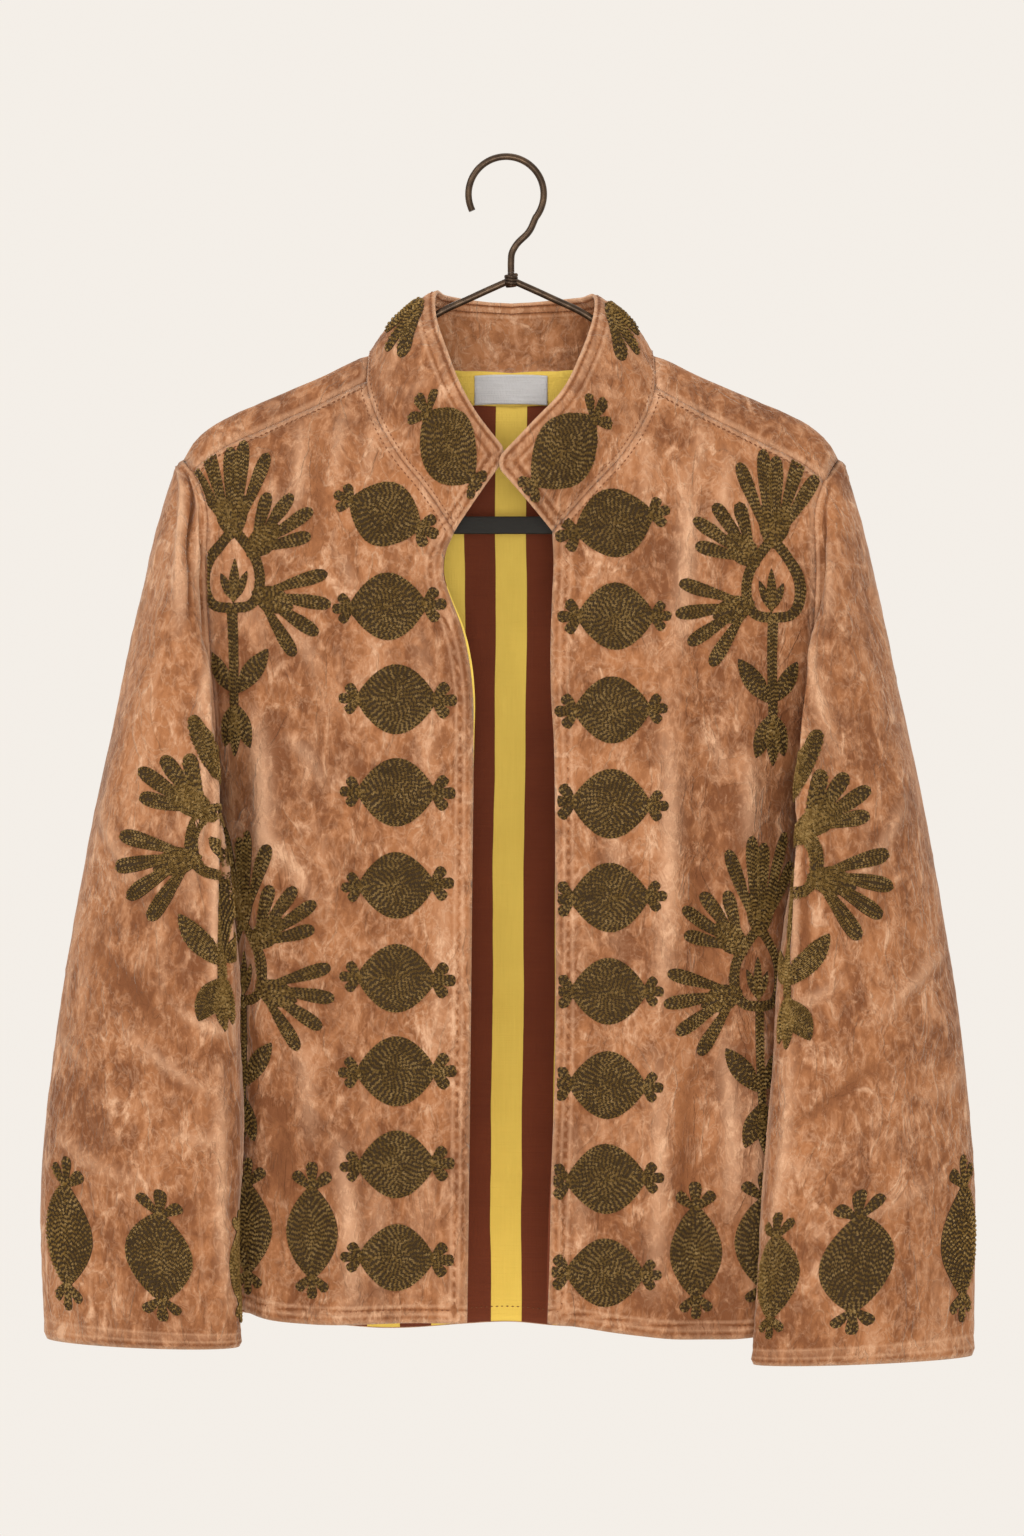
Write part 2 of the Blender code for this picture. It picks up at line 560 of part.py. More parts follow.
def wall(name, colour, edge, surface, thick, zones, motifs=(), out=1, back_off=0.0, edge_inward=None,
         tube=False, fine=None):
    """One cloth piece: its outer surface, a plain inner one, and the rim between them.

    zones give the plain points' spacing across and their rows, and fine those of the outer surface if
    they differ. back_off sinks the whole piece below the surface, as a lining lies below its velvet. edge_inward
    gives the direction through the wall at points of the edge, so that two pieces meet in a mitre.
    A tube's left and right edges are one line.
    """
    if signed_area(edge) < 0:
        edge = edge[::-1]
        edge_inward = None if edge_inward is None else edge_inward[::-1]
    kept = [kept_inside(loop, edge, 0.0018) for loop in motifs]
    kept = [loop for loop in kept if len(loop) > 4 and abs(signed_area(loop)) > 1e-5]
    loops = [line for loop in kept for line in (loop, inward(loop, RAISE_EDGE))]
    points, faces, rim = filled(edge, loops, fine or zones)
    through = -surface_normals(surface, points, out)
    if edge_inward is not None:
        for index, direction in zip(rim, edge_inward):
            if np.isfinite(direction).all():
                through[index] = direction
    outer = surface(points) + through * back_off - through * raised(points, kept)[:, None]
    inner_points, inner_faces, inner_rim = filled(edge, [], zones)
    inner_through = -surface_normals(surface, inner_points, out)
    inner_through[inner_rim] = through[rim]
    inner = surface(inner_points) + inner_through * (back_off + thick)
    left, right = edge[:, 0].min() + 1e-9, edge[:, 0].max() - 1e-9
    twins = []
    if tube:
        ends = {round(y, 6): rim[i] for i, (x, y) in enumerate(edge) if x <= left}
        twins = [(rim[i], ends[round(y, 6)]) for i, (x, y) in enumerate(edge) if x >= right]
    outer = kept_clear(outer, faces, -through, inner - inner_through * LEAST_WALL, inner_faces, twins)
    start = len(outer)
    n = len(rim)
    sides = []
    for i in range(n):
        j = (i + 1) % n
        pair = edge[[i, j], 0]
        if tube and ((pair <= left).all() or (pair >= right).all()):
            continue
        sides.append((rim[j], rim[i], start + inner_rim[i], start + inner_rim[j]))
    back_faces = [tuple(start + i for i in f[::-1]) for f in inner_faces]
    every = faces + back_faces + sides
    if out < 0:
        every = [f[::-1] for f in every]
    mesh = bpy.data.meshes.new(name)
    mesh.from_pydata(np.concatenate([outer, inner]).tolist(), [], every)
    work = bmesh.new()
    work.from_mesh(mesh)
    if tube:
        bmesh.ops.remove_doubles(work, verts=work.verts, dist=2e-6)
    bmesh.ops.triangulate(work, faces=[f for f in work.faces if len(f.verts) > 3])
    work.to_mesh(mesh)
    work.free()
    return add_object(name, mesh, colour)


def add_object(name, data, colour, roughness=0.8, metallic=0.0):
    made = bpy.data.objects.new(name, data)
    jacket.objects.link(made)
    material = bpy.data.materials.new(name)
    material.use_nodes = True
    shader = material.node_tree.nodes["Principled BSDF"]
    shader.inputs["Base Color"].default_value = (*colour, 1)
    shader.inputs["Roughness"].default_value = roughness
    shader.inputs["Metallic"].default_value = metallic
    data.materials.append(material)
    made.parent = hang
    return made


# Fronts and back


def neck_front(side):
    """The neckline in a front's domain, from the front edge up to the shoulder seam."""
    z = np.linspace(NECK_FRONT_Z, float(ridge_height(NECK_SIDE)) - SEAM_AT_NECK[side], 9)
    out = follow(NECKLINE, "height", "out", z)
    corner = follow(FRONT_EDGES[side], "height", "out", NECK_FRONT_Z)
    return np.stack([out + (corner - out[0]) * np.linspace(1, 0, 9) ** 3, z], axis=-1)


def neck_back(side):
    """The neckline in the back's domain, from the shoulder seam over the ridge to the centre back."""
    top = float(ridge_height(NECK_SIDE))
    z = np.linspace(top - SEAM_AT_NECK[side], top, 3)[:-1]
    out = follow(NECKLINE, "height", "out", z)
    over = np.stack([out, -down_from_ridge(out, z)], axis=-1)
    down = BACK_NECKLINE["down"][-1] * np.sin(np.linspace(0, math.pi / 2, 10)) ** 1.3
    return np.concatenate([over, np.stack([follow(BACK_NECKLINE, "down", "out", down), down], axis=-1)])


def armhole(side):
    """The armhole as cloth across and height, from the ridge, past the shoulder seam, to the side seam."""
    low = UNDERARM_Z + UNDERARM_RISE
    z = np.concatenate([[ARMHOLE["height"][-1]], np.linspace(SEAM_AT_ARM_Z[side], low, 8)])
    upper = np.stack([follow(ARMHOLE, "height", "out", z), z], axis=-1)
    angle = np.linspace(0, math.pi / 2, 6)[1:]
    start, end = upper[-1], np.array([side_seam(UNDERARM_Z), UNDERARM_Z])
    turn = np.stack([
        start[0] + (end[0] - start[0]) * (1 - np.cos(angle)), low - UNDERARM_RISE * np.sin(angle)
    ], axis=-1)
    return np.concatenate([upper, turn])


def shoulder_seam(side):
    """The forward shoulder seam as cloth across and height, from the neck to the armhole."""
    start, end = neck_front(side)[-1], armhole(side)[1]
    out = np.linspace(start[0], end[0], 9)
    drop = np.linspace(ridge_height(start[0]) - start[1], ridge_height(end[0]) - end[1], 9)
    seam = np.stack([out, ridge_height(out) - drop], axis=-1)
    seam[0], seam[-1] = start, end
    return seam


def side_line():
    z = np.linspace(UNDERARM_Z, HEM_SIDE_Z, 9)
    return np.stack([side_seam(z), z], axis=-1)


def as_back(line, over_front=False):
    """A line of cloth across and height as a line in the back's domain."""
    return np.stack([line[:, 0], down_from_ridge(line[:, 0], line[:, 1]) * (-1 if over_front else 1)], axis=-1)


def front_outline(side):
    hem_z = float(follow(FRONT_HEMS[side], "across", "height", 0.025))
    z = np.concatenate([np.linspace(hem_z, -0.375, 7), np.linspace(-0.352, NECK_FRONT_Z, 8)])
    edge = np.stack([follow(FRONT_EDGES[side], "height", "out", z), z], axis=-1)
    seam = side_line()
    across = np.linspace(seam[-1, 0], edge[0, 0], 14)
    hem = np.stack([across, follow(FRONT_HEMS[side], "across", "height", across)], axis=-1)
    hem[0], hem[-1] = seam[-1], edge[0]
    loop = chained([edge, neck_front(side), shoulder_seam(side), armhole(side)[1:], seam, hem])
    return inward(loop, SEAM / 2) * (side, 1)


def back_outline():
    halves = []
    for side in (-1, 1):
        hole = armhole(side)
        over = np.array([(hole[0, 0], 0.0), as_back(hole[1:2], True)[0]])
        up = as_back(hole)[::-1]
        up[-1] = over[0]
        seam = as_back(shoulder_seam(side)[::-1], True)
        lines = [as_back(side_line()[::-1]), up, over, seam, neck_back(side)]
        halves.append([line * (side, 1) for line in lines])
    left, right = halves
    across = np.linspace(left[0][0, 0], right[0][0, 0], 25)
    height = follow(BACK_HEM, "across", "height", across)
    hem = as_back(np.stack([across, height], axis=-1))
    hem[0], hem[-1] = left[0][0], right[0][0]
    return inward(chained([hem, *right, *[line[::-1] for line in left[::-1]]]), SEAM / 2)


def front_motifs(side):
    """The row of pomegranates beside the front edge, two on the hem, and the leaf sprays."""
    found = []
    for i in range(9):
        at = (ROW_OUT[side] + ROW_LEAN[side] * i, ROW_TOP[side] - ROW_STEP[side] * i)
        turn = ROW_TURN[side] if i == 0 else 0.0
        found.append(placed(pomegranate(0.0500, 0.0430, 0.0132, 0.0108), at, turn - 90) * (side, 1))
    found += [placed(hem_fruit(), at) * (side, 1) for at in HEM_FRUIT[side]]
    for out, z in SPRAYS[side]:
        found += [outline + (side * out, z) for outline in spray(-side)]
    return found


def back_motifs():
    """The hem's row of pomegranates, carried on round the back."""
    return [
        placed(hem_fruit(), (out, float(down_from_ridge(np.array(out), -0.6950))), 180) for out in BACK_HEM_FRUIT
    ]


def build_body():
    for side, name in ((-1, "front_right"), (1, "front_left")):
        outline = front_outline(side)
        wall(name, VELVET_COLOUR, outline, front_surface(side), VELVET_WALL, FRONT_GRID, front_motifs(side),
             fine=FRONT_FINE)
        wall("lining_" + name, LINING_COLOUR, outline, front_surface(side), LINING_WALL, FRONT_GRID,
             back_off=VELVET_WALL + SEAM)
    outline = back_outline()
    wall("back_panel", VELVET_COLOUR, outline, back_surface, VELVET_WALL, BACK_GRID, back_motifs())
    wall("lining_back", LINING_COLOUR, outline, back_surface, LINING_WALL, BACK_GRID, back_off=VELVET_WALL + SEAM)


# Sleeves


def sleeve_start(side):
    """The armhole seam in space: shares round the tube, points, inward normals and ways into the sleeve."""
    hole = armhole(side)
    front_line, back_line = hole * (side, 1), as_back(hole) * (side, 1)
    front, back = front_surface(side)(front_line), back_surface(back_line)
    front_out = surface_normals(front_surface(side), front_line, 1)
    back_out = surface_normals(back_surface, back_line, 1)
    front[0] = back[0] = (front[0] + back[0]) / 2
    front_out[0] = back_out[0] = unit(front_out[0] + back_out[0])
    front[-1] = back[-1] = (front[-1] + back[-1]) / 2
    front_out[-1] = back_out[-1] = unit(front_out[-1] + back_out[-1])
    shares = []
    for line in (front, back):
        length = np.concatenate([[0], np.cumsum(np.linalg.norm(np.diff(line, axis=0), axis=1))])
        shares.append(0.5 * length / length[-1])
    share = np.concatenate([shares[0], 1 - shares[1][::-1][1:]])
    points = np.concatenate([front, back[::-1][1:]])
    outwards = np.concatenate([front_out, back_out[::-1][1:]])
    ring = np.concatenate([points[-2:-1], points, points[1:2]])
    along = unit(ring[2:] - ring[:-2])
    return share, points, -outwards, unit(np.cross(outwards, along)) * side


def sleeve_relief(turn, share):
    """The sleeve's folds, by shares round and along it."""
    relief = np.zeros_like(turn)
    for round_top, top, round_low, low, proud, width in zip(*SLEEVE_FOLDS.values()):
        t = (share - top) / (low - top)
        off = (np.mod(turn - round_top * (1 - t) - round_low * t + 0.5, 1.0) - 0.5) * SLEEVE_AROUND
        relief += proud * ease(t / 0.25) * ease((1 - t) / 0.30) * np.exp(-((off / width) ** 2))
    return relief


def sleeve_surface(side):
    """The sleeve's domain is cloth round the tube, from the outer line over the front, and cloth along it."""
    table = SLEEVES[side]
    ring_share, ring, _, into = sleeve_start(side)

    def on_ring(values, turn):
        return np.stack([np.interp(turn, ring_share, values[:, k]) for k in range(3)], axis=-1)

    def surface(p):
        turn = np.mod(p[:, 0] / SLEEVE_AROUND, 1.0)
        share = p[:, 1] / SLEEVE_LENGTH
        row = {name: follow(table, "share", name, share) for name in table if name != "share"}
        outer = np.stack([side * row["outer_x"], row["outer_y"], row["outer_z"]], axis=-1)
        inner = np.stack([side * row["inner_x"], row["inner_y"], row["inner_z"]], axis=-1)
        axis = (outer - inner) / 2
        way = unit(axis)
        forward = unit(np.array([0.0, -1.0, 0.0]) + way * way[:, 1:2])
        cos, sin = np.cos(2 * math.pi * turn), np.sin(2 * math.pi * turn)
        relief = sleeve_relief(turn, share)
        oval = (outer + inner) / 2 + axis * cos[:, None] + way * (relief * cos)[:, None]
        oval = oval + forward * (sin * (row["half_depth"] + relief))[:, None]
        oval[:, 0] -= side * np.maximum(sin, 0) ** 1.5 * row["lean"]
        rise = SEAM + 0.0060 * (1 - np.exp(-np.maximum(p[:, 1], -PROBE) / 0.0060))
        start = on_ring(ring, turn) + on_ring(into, turn) * rise[:, None]
        blend = ease(share / SLEEVE_BLEND)[:, None]
        return start * (1 - blend) + oval * blend

    return surface


def sleeve_motifs(side):
    """Pomegranates round the cuff, and a spray on the sleeve's front that opens to the outer side."""
    found = []
    for share in CUFF_FRUIT[side]:
        shape = pomegranate(0.0600, 0.0385, 0.0168, 0.0143)
        found.append(placed(shape, (share * SLEEVE_AROUND, SLEEVE_LENGTH - 0.0620), 180))
    found += [outline * (1.2, -1) + (0.435 * SLEEVE_AROUND, SPRAY_DOWN[side]) for outline in spray(-1)]
    return found


def build_sleeve(side, name):
    share, _, inwards, _ = sleeve_start(side)
    top = np.stack([share * SLEEVE_AROUND, np.zeros_like(share)], axis=-1)
    right = respace(np.array([[SLEEVE_AROUND, 0.0], [SLEEVE_AROUND, SLEEVE_LENGTH]]), 0.031)
    low = respace(np.array([[SLEEVE_AROUND, SLEEVE_LENGTH], [0.0, SLEEVE_LENGTH]]), 0.0150)
    left = (right * (0, 1))[::-1]
    edge = chained([top, right, low, left])
    edge_inward = np.full((len(edge), 3), np.nan)
    edge_inward[: len(top)] = inwards
    edge_inward[len(top) - 1] = inwards[0]
    wall(name, VELVET_COLOUR, edge, sleeve_surface(side), VELVET_WALL, SLEEVE_GRID, sleeve_motifs(side),
         out=side, edge_inward=edge_inward, tube=True)


# Collar


def collar_foot(side):
    """The neckline in space from the front corner to the centre back: shares along it, points and normals."""
    front, back = neck_front(side) * (side, 1), neck_back(side) * (side, 1)
    points = np.concatenate([front_surface(side)(front), back_surface(back)[1:]])
    normals = np.concatenate([
        surface_normals(front_surface(side), front, 1), surface_normals(back_surface, back, 1)[1:]
    ])
    length = np.concatenate([[0], np.cumsum(np.linalg.norm(np.diff(points, axis=0), axis=1))])
    return length / length[-1], points, normals


def collar_surface(p):
    """The collar's domain is cloth along the neckline from the centre back, and cloth up from it."""
    result = np.zeros((len(p), 3))
    for side in (-1, 1):
        mine = (p[:, 0] >= 0) == (side > 0)
        at = 1 - np.abs(p[mine, 0]) / COLLAR_HALF
        up = p[mine, 1] / COLLAR_HEIGHT
        share, points, normals = collar_foot(side)
        base = np.stack([np.interp(at, share, points[:, k]) for k in range(3)], axis=-1)
        normal = np.stack([np.interp(at, share, normals[:, k]) for k in range(3)], axis=-1)
        table = COLLAR_TOPS[side]
        top = np.stack([
            side * follow(table, "share", "out", at), follow(table, "share", "y", at),
            follow(table, "share", "height", at),
        ], axis=-1)
        rise = top - base
        bulge = normal * (COLLAR_BULGE * np.sin(math.pi * np.clip(up, -0.1, 1.1)))[:, None]
        result[mine] = base + unit(rise) * (SEAM * 1.2) + rise * up[:, None] + bulge
    return result


def collar_motifs():
    found = []
    for side in (-1, 1):
        fruit = placed(pomegranate(0.0480, 0.0360, 0.0140, 0.0120), (0, 0), 90)
        found.append(fruit * (-side, 1) + (side * 0.2140, 0.0285))
        found += [placed(leaf(0.030, 0.0120), (side * 0.1230, 0.0460), 180 + turn) for turn in (-50, 0, 50)]
    return found


def build_collar():
    foot = []
    inwards = []
    for side in (-1, 1):
        share, _, normals = collar_foot(side)
        along = side * COLLAR_HALF * (1 - share)
        order = np.argsort(along)
        foot.append(np.stack([along, np.zeros_like(along)], axis=-1)[order])
        inwards.append(-normals[order])
    foot = np.concatenate([foot[0], foot[1][1:]])
    inwards = np.concatenate([inwards[0], inwards[1][1:]])
    angle = np.linspace(0, math.pi / 2, 4)
    reach = COLLAR_HALF - COLLAR_CORNER
    right = np.stack([
        reach + COLLAR_CORNER * np.cos(angle), COLLAR_HEIGHT - COLLAR_CORNER + COLLAR_CORNER * np.sin(angle)
    ], axis=-1)
    left = (right * (-1, 1))[::-1]
    up = respace(np.array([foot[-1], right[0]]), 0.012)
    top = respace(np.array([right[-1], left[0]]), 0.013)
    edge = chained([foot, up, right, top, left, respace(np.array([left[-1], foot[0]]), 0.012)])
    edge_inward = np.full((len(edge), 3), np.nan)
    edge_inward[: len(foot)] = inwards
    wall("collar", VELVET_COLOUR, edge, collar_surface, COLLAR_WALL, COLLAR_GRID, collar_motifs(), out=-1,
         edge_inward=edge_inward)


def build_neck_pieces():
    """The facing below the back neckline, and the label on it."""
    off = VELVET_WALL + LINING_WALL + 2 * SEAM
    across = np.linspace(-FACING_HALF, FACING_HALF, 13)
    down = np.interp(np.abs(across), BACK_NECKLINE["out"][::-1], BACK_NECKLINE["down"][::-1]) + 0.0016
    upper = np.stack([across, down], axis=-1)
    lower = (upper + (0, FACING_HEIGHT))[::-1]
    edge = chained([upper, np.array([upper[-1], lower[0]]), lower, np.array([lower[-1], upper[0]])])
    wall("neck_facing", FACING_COLOUR, edge, back_surface, LINING_WALL, NECK_GRID, back_off=off)
    top, low = BACK_NECKLINE["down"][-1] + 0.0022, BACK_NECKLINE["down"][-1] + 0.0022 + LABEL_HEIGHT
    corners = np.array([(-LABEL_HALF, top), (LABEL_HALF, top), (LABEL_HALF, low), (-LABEL_HALF, low)])
    edge = chained([respace(corners[[i, (i + 1) % 4]], 0.012) for i in range(4)])
    wall("label", LABEL_COLOUR, edge, back_surface, LABEL_WALL, NECK_GRID, back_off=off + LINING_WALL + SEAM)


# Hanger


def wire(name, points):
    curve = bpy.data.curves.new(name, "CURVE")
    curve.dimensions = "3D"
    curve.bevel_depth = WIRE_RADIUS
    curve.bevel_resolution = 1
    curve.use_fill_caps = True
    spline = curve.splines.new("POLY")
    spline.points.add(len(points) - 1)
    for point, place in zip(spline.points, points):
        point.co = (*place, 1)
    return add_object(name, curve, METAL_COLOUR, 0.35, 1.0)


def hook_points():
    """From the tip over the hook's arc, then down through the bend to the wrap."""
    centre = np.array([-CENTRE_X, 0.0, -HOOK_RADIUS + WIRE_RADIUS])
    arc = [
        centre + HOOK_RADIUS * np.array([math.cos(a), 0, math.sin(a)])
        for a in np.radians(np.linspace(206, -38, 20))
    ]
    low = WRAP_TOP + SEAM
    bend = columns("height x", [
        (low, 0.0), (-0.0665, 0.0000), (-0.0605, 0.0006), (-0.0545, 0.0040), (-0.0475, 0.0110), tuple(arc[-1][[2, 0]]),
    ])
    heights = np.linspace(arc[-1][2], low, 8)[1:]
    return arc + [np.array([float(follow(bend, "height", "x", z)), 0.0, z]) for z in heights]


def arm_points(side):
    """From the wrap under the collar and the shoulder ridge, then down to the bar's end."""
    def below_ridge(out):
        return float(ridge_height(out)) - 0.0092

    route = columns("out height", [
        (0.0000, -0.0780), (0.0250, -0.0893), (0.0510, -0.1022), (0.0720, -0.1190), (0.0900, -0.1345),
        *[(out, below_ridge(out)) for out in (0.110, 0.140, 0.170, ARM_OUT)],
    ])
    outs = np.linspace(WRAP_RADIUS + WIRE_RADIUS / 2 + SEAM, ARM_OUT, 14)
    line = [(side * x, 0.0, float(follow(route, "out", "height", x))) for x in outs]
    end = line[-1][2]
    for a in np.radians(np.linspace(30, 110, 5)):
        line.append((side * (ARM_OUT + ARM_TURN * math.sin(a)), 0.0, end - ARM_TURN * (1 - math.cos(a)) - 0.0012))
    low_x = BAR_HALF + WIRE_RADIUS + SEAM
    for out, z in ((low_x + 0.0045, -0.2100), (low_x, -0.2230), (low_x, BAR_CENTRE_Z - BAR_HEIGHT / 2)):
        line.append((side * out, 0.0, z))
    return line


def turned(name, profile, colour, steps=12):
    """A solid of revolution about the hanger's stem from radii and heights."""
    rings = [
        [(r * math.cos(2 * math.pi * k / steps), r * math.sin(2 * math.pi * k / steps), z) for k in range(steps)]
        for r, z in profile
    ]
    points = [p for ring in rings for p in ring]
    faces = [tuple(range(steps))]
    for i in range(len(rings) - 1):
        for k in range(steps):
            n = (k + 1) % steps
            faces.append((i * steps + k, (i + 1) * steps + k, (i + 1) * steps + n, i * steps + n))
    last = (len(rings) - 1) * steps
    faces.append(tuple(last + k for k in reversed(range(steps))))
    mesh = bpy.data.meshes.new(name)
    mesh.from_pydata(points, [], faces)
    return add_object(name, mesh, colour, 0.35, 1.0)


def build_hanger():
    wire("hanger_hook", hook_points())
    wire("hanger_arm_right", arm_points(-1))
    wire("hanger_arm_left", arm_points(1))
    coil = (WRAP_TOP - WRAP_LOW) / 3
    profile = []
    for i in range(3):
        z = WRAP_TOP - coil * i
        profile += [(WRAP_RADIUS * 0.78, z), (WRAP_RADIUS, z - coil * 0.3), (WRAP_RADIUS, z - coil * 0.7)]
    profile.append((WRAP_RADIUS * 0.7, WRAP_LOW))
    turned("hanger_wrap", profile, METAL_COLOUR)
    half = np.array([BAR_HALF, BAR_THICK / 2, BAR_HEIGHT / 2])
    corners = [(x, y, z) for x in (-1, 1) for y in (-1, 1) for z in (-1, 1)]
    points = [tuple(half * c + (0, 0, BAR_CENTRE_Z)) for c in corners]
    faces = [(0, 1, 3, 2), (4, 6, 7, 5), (0, 4, 5, 1), (2, 3, 7, 6), (0, 2, 6, 4), (1, 5, 7, 3)]
    mesh = bpy.data.meshes.new("hanger_bar")
    mesh.from_pydata(points, [], faces)
    bar = add_object("hanger_bar", mesh, BAR_COLOUR, 0.6)
    bevel = bar.modifiers.new("Rounded edges", "BEVEL")
    bevel.width = 0.0010
    bevel.segments = 2


for old in list(bpy.data.objects):
    bpy.data.objects.remove(old)
jacket = bpy.data.collections.new("velvet jacket")
bpy.context.scene.collection.children.link(jacket)
hang = bpy.data.objects.new("hang", None)
hang.location = (CENTRE_X, 0, 0)
jacket.objects.link(hang)

build_body()
build_sleeve(-1, "sleeve_right")
build_sleeve(1, "sleeve_left")
build_collar()
build_neck_pieces()
build_hanger()
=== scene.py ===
"""Dresses the embroidered velvet jacket: cloth shells, thread, lining, hanger and a plain studio.

Lengths are in metres, apart from the tables that lengths() reads, which are in millimetres. The origin is the
inside top of the hanger's hook, +Z is up and the front faces -Y. Each cloth piece has a flat domain, cloth
across and cloth down or up, and a surface that takes its places to points in space. Creases, thread and
stitches are laid out in that flat cloth and lifted off the surface.
Sides are -1 for the wearer's right, which is on the left seen from the front, and 1 for the wearer's left.
"""

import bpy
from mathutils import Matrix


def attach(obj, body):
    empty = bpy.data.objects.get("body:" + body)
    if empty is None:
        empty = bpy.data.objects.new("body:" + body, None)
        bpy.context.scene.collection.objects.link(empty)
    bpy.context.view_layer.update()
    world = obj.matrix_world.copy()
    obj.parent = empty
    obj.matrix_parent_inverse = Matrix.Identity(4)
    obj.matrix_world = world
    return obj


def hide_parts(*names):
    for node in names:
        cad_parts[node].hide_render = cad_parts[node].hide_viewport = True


bl_info = {
    "name": "Embroidered velvet jacket",
    "version": (1, 0, 0),
    "blender": (4, 5, 0),
    "location": "3D View > Sidebar > Jacket",
    "description": "Builds a crushed velvet jacket with chain-stitched fruit and leaves on a wire hanger",
    "category": "Add Mesh",
}

import math

import bmesh
import bpy
import numpy as np
from bpy.props import FloatProperty, FloatVectorProperty, PointerProperty
from mathutils import Vector, noise
from mathutils.geometry import delaunay_2d_cdt

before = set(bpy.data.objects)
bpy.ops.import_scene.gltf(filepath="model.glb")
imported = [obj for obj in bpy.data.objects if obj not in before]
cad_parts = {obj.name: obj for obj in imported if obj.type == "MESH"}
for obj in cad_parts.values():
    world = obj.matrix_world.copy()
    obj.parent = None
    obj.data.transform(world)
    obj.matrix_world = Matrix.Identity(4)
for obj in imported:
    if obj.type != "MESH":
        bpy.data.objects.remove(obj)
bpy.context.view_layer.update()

# Walls and seams
VELVET_WALL = 0.0020
LINING_WALL = 0.0010
SEAM = 0.0003
PROBE = 0.0004
OVERLAP = 0.0005
CREASE_DEPTH = 1.35

# Each finished piece of cloth: the thickness of its shell, and the spacing of its points, which the velvets
# have as a multiple of the setting
VELVET_SHELL = 0.0014
COLLAR_SHELL = 0.0022
BACK_STEPS = 1.3
SLEEVE_STEPS = 0.95
COLLAR_STEPS = 0.7
LINING_SHELL = 0.0007
LABEL_SHELL = 0.0006
LINING_STEP = 0.0060
BAND_STEP = 0.0030
LABEL_STEP = 0.0015

# Rows of topstitching: their distances from turned edges, from sewn seams and from the collar's edge
HEM_ROW = 0.008
SEAM_ROW = 0.004
COLLAR_ROWS = (0.0035, 0.0095)
LINING_HEM_ROW = 0.010
NAPE_HALF = 0.13

# How the cloth lies beside its edges: the rolled bead of a turned edge, the dents of its stitched rows, of
# the edge itself and of a sewn seam, each as depth and width, and how far from them the puckers start
BEAD = (0.0006, 0.0030)
ROW_DENT = (0.0009, 0.0014)
EDGE_DENT = (0.0010, 0.0012)
SEAM_DENT = (0.0012, 0.0022)
PUCKERS_FROM = 0.012

# Thread: how far a motif keeps from the panel's edge, the least area of a motif, how far its bed reaches into
# the cloth, the steps in height that keep beds apart, and the bed's tone, dark as painted shade between the
# stitches
THREAD_MARGIN = 0.0015
LEAST_MOTIF = 8e-6
BED_ROOT = 0.0007
BED_APART = 0.00002
BED_SHADE_TONE = 0.30
BED_STEP = 0.0040
BED_RIM = 0.0022

# The fronts' stripes start this far from the centre
FRONT_STRIPES = 0.0340

# The jacket's centre plane lies this far to the side of the hook's inside top
CENTRE_X = 0.0032

# Body: depth of the hanging cloth, how fast it falls open below the shoulder ridge, ridge radius
BODY_DEPTH = 0.058
DRAPE = 0.060
RIDGE_RADIUS = 0.0065
SIDE_DEPTH = 0.052
CROWN = 0.10
UNDERARM_Z = -0.402
UNDERARM_RISE = 0.045


def columns(names, rows):
    """A table as named arrays, one for each column."""
    return dict(zip(names.split(), np.array(rows, float).T))


def lengths(names, rows):
    """A table of lengths, written in millimetres."""
    return columns(names, np.array(rows, float) / 1000)


SHOULDER_RIDGE = lengths("out height", [
    (-40, -106.5), (0, -103.5), (40, -106.5), (70, -116), (94, -127), (126, -142.3), (144, -150),
    (162, -157.8), (180, -165.5), (194, -173), (204, -181), (210, -188.5), (216, -197), (224, -212),
    (240, -250),
])
BODY_SECTIONS = lengths("height half roll", [
    (-780, 190, 50), (-650, 188, 50), (-560, 185, 50), (-470, 187, 50), (-402, 196, 50), (-350, 209, 54),
    (-300, 230, 62), (-250, 268, 80), (-200, 330, 100), (-90, 360, 110),
])
NECKLINE = lengths("height out", [
    (-247, 30), (-233, 40), (-215, 54), (-196, 70.5), (-182, 80), (-166, 88), (-150, 93), (-129, 93.5),
])
BACK_NECKLINE = lengths("down out", [
    (0, 93.5), (19, 80), (33, 60), (40.5, 30), (43, 0),
])
ARMHOLE = lengths("height out", [
    (-370, 196.5), (-330, 195), (-280, 194.5), (-244, 195.5), (-221, 198.5), (-203, 207.5), (-195, 214.5),
])
NECK_SIDE = 0.0935
NECK_FRONT_Z = -0.2440

# Each front: its front edge and hem as seen from the front, and its shoulder seam's ends
FRONT_EDGES = {
    -1: lengths("height out", [
        (-752, 28.5), (-659, 27.3), (-598, 26.6), (-468, 25.3), (-375, 24.5), (-352, 24.7), (-329, 27),
        (-306, 32), (-286, 39.5), (-273.5, 43.5), (-260, 43.2), (-244, 37),
    ]),
    1: lengths("height out", [
        (-752, 23.7), (-720, 24.9), (-659, 26.2), (-598, 28.4), (-468, 28.8), (-407, 28.5), (-375, 27.8),
        (-350, 26.2), (-326, 25.8), (-285, 26.9), (-265, 27.8), (-244, 27),
    ]),
}
FRONT_HEMS = {
    -1: lengths("across height", [
        (20, -751), (80, -751.2), (106, -751.5), (130, -752), (155, -749), (175, -744), (235, -744),
    ]),
    1: lengths("across height", [
        (15, -750), (40, -753), (62, -756.7), (92, -759.7), (121, -761.7), (155, -760), (235, -744),
    ]),
}
BACK_HEM = lengths("across height", [
    (-235, -744), (-190, -752), (-150, -759), (-110, -764), (-70, -765.5), (-32, -764), (0, -762),
    (30, -764), (80, -766.5), (150, -761), (190, -753), (235, -744),
])
HEM_SIDE_Z = -0.7440
SEAM_AT_NECK = {-1: 0.0175, 1: 0.0220}
SEAM_AT_ARM_Z = {-1: -0.2040, 1: -0.2100}

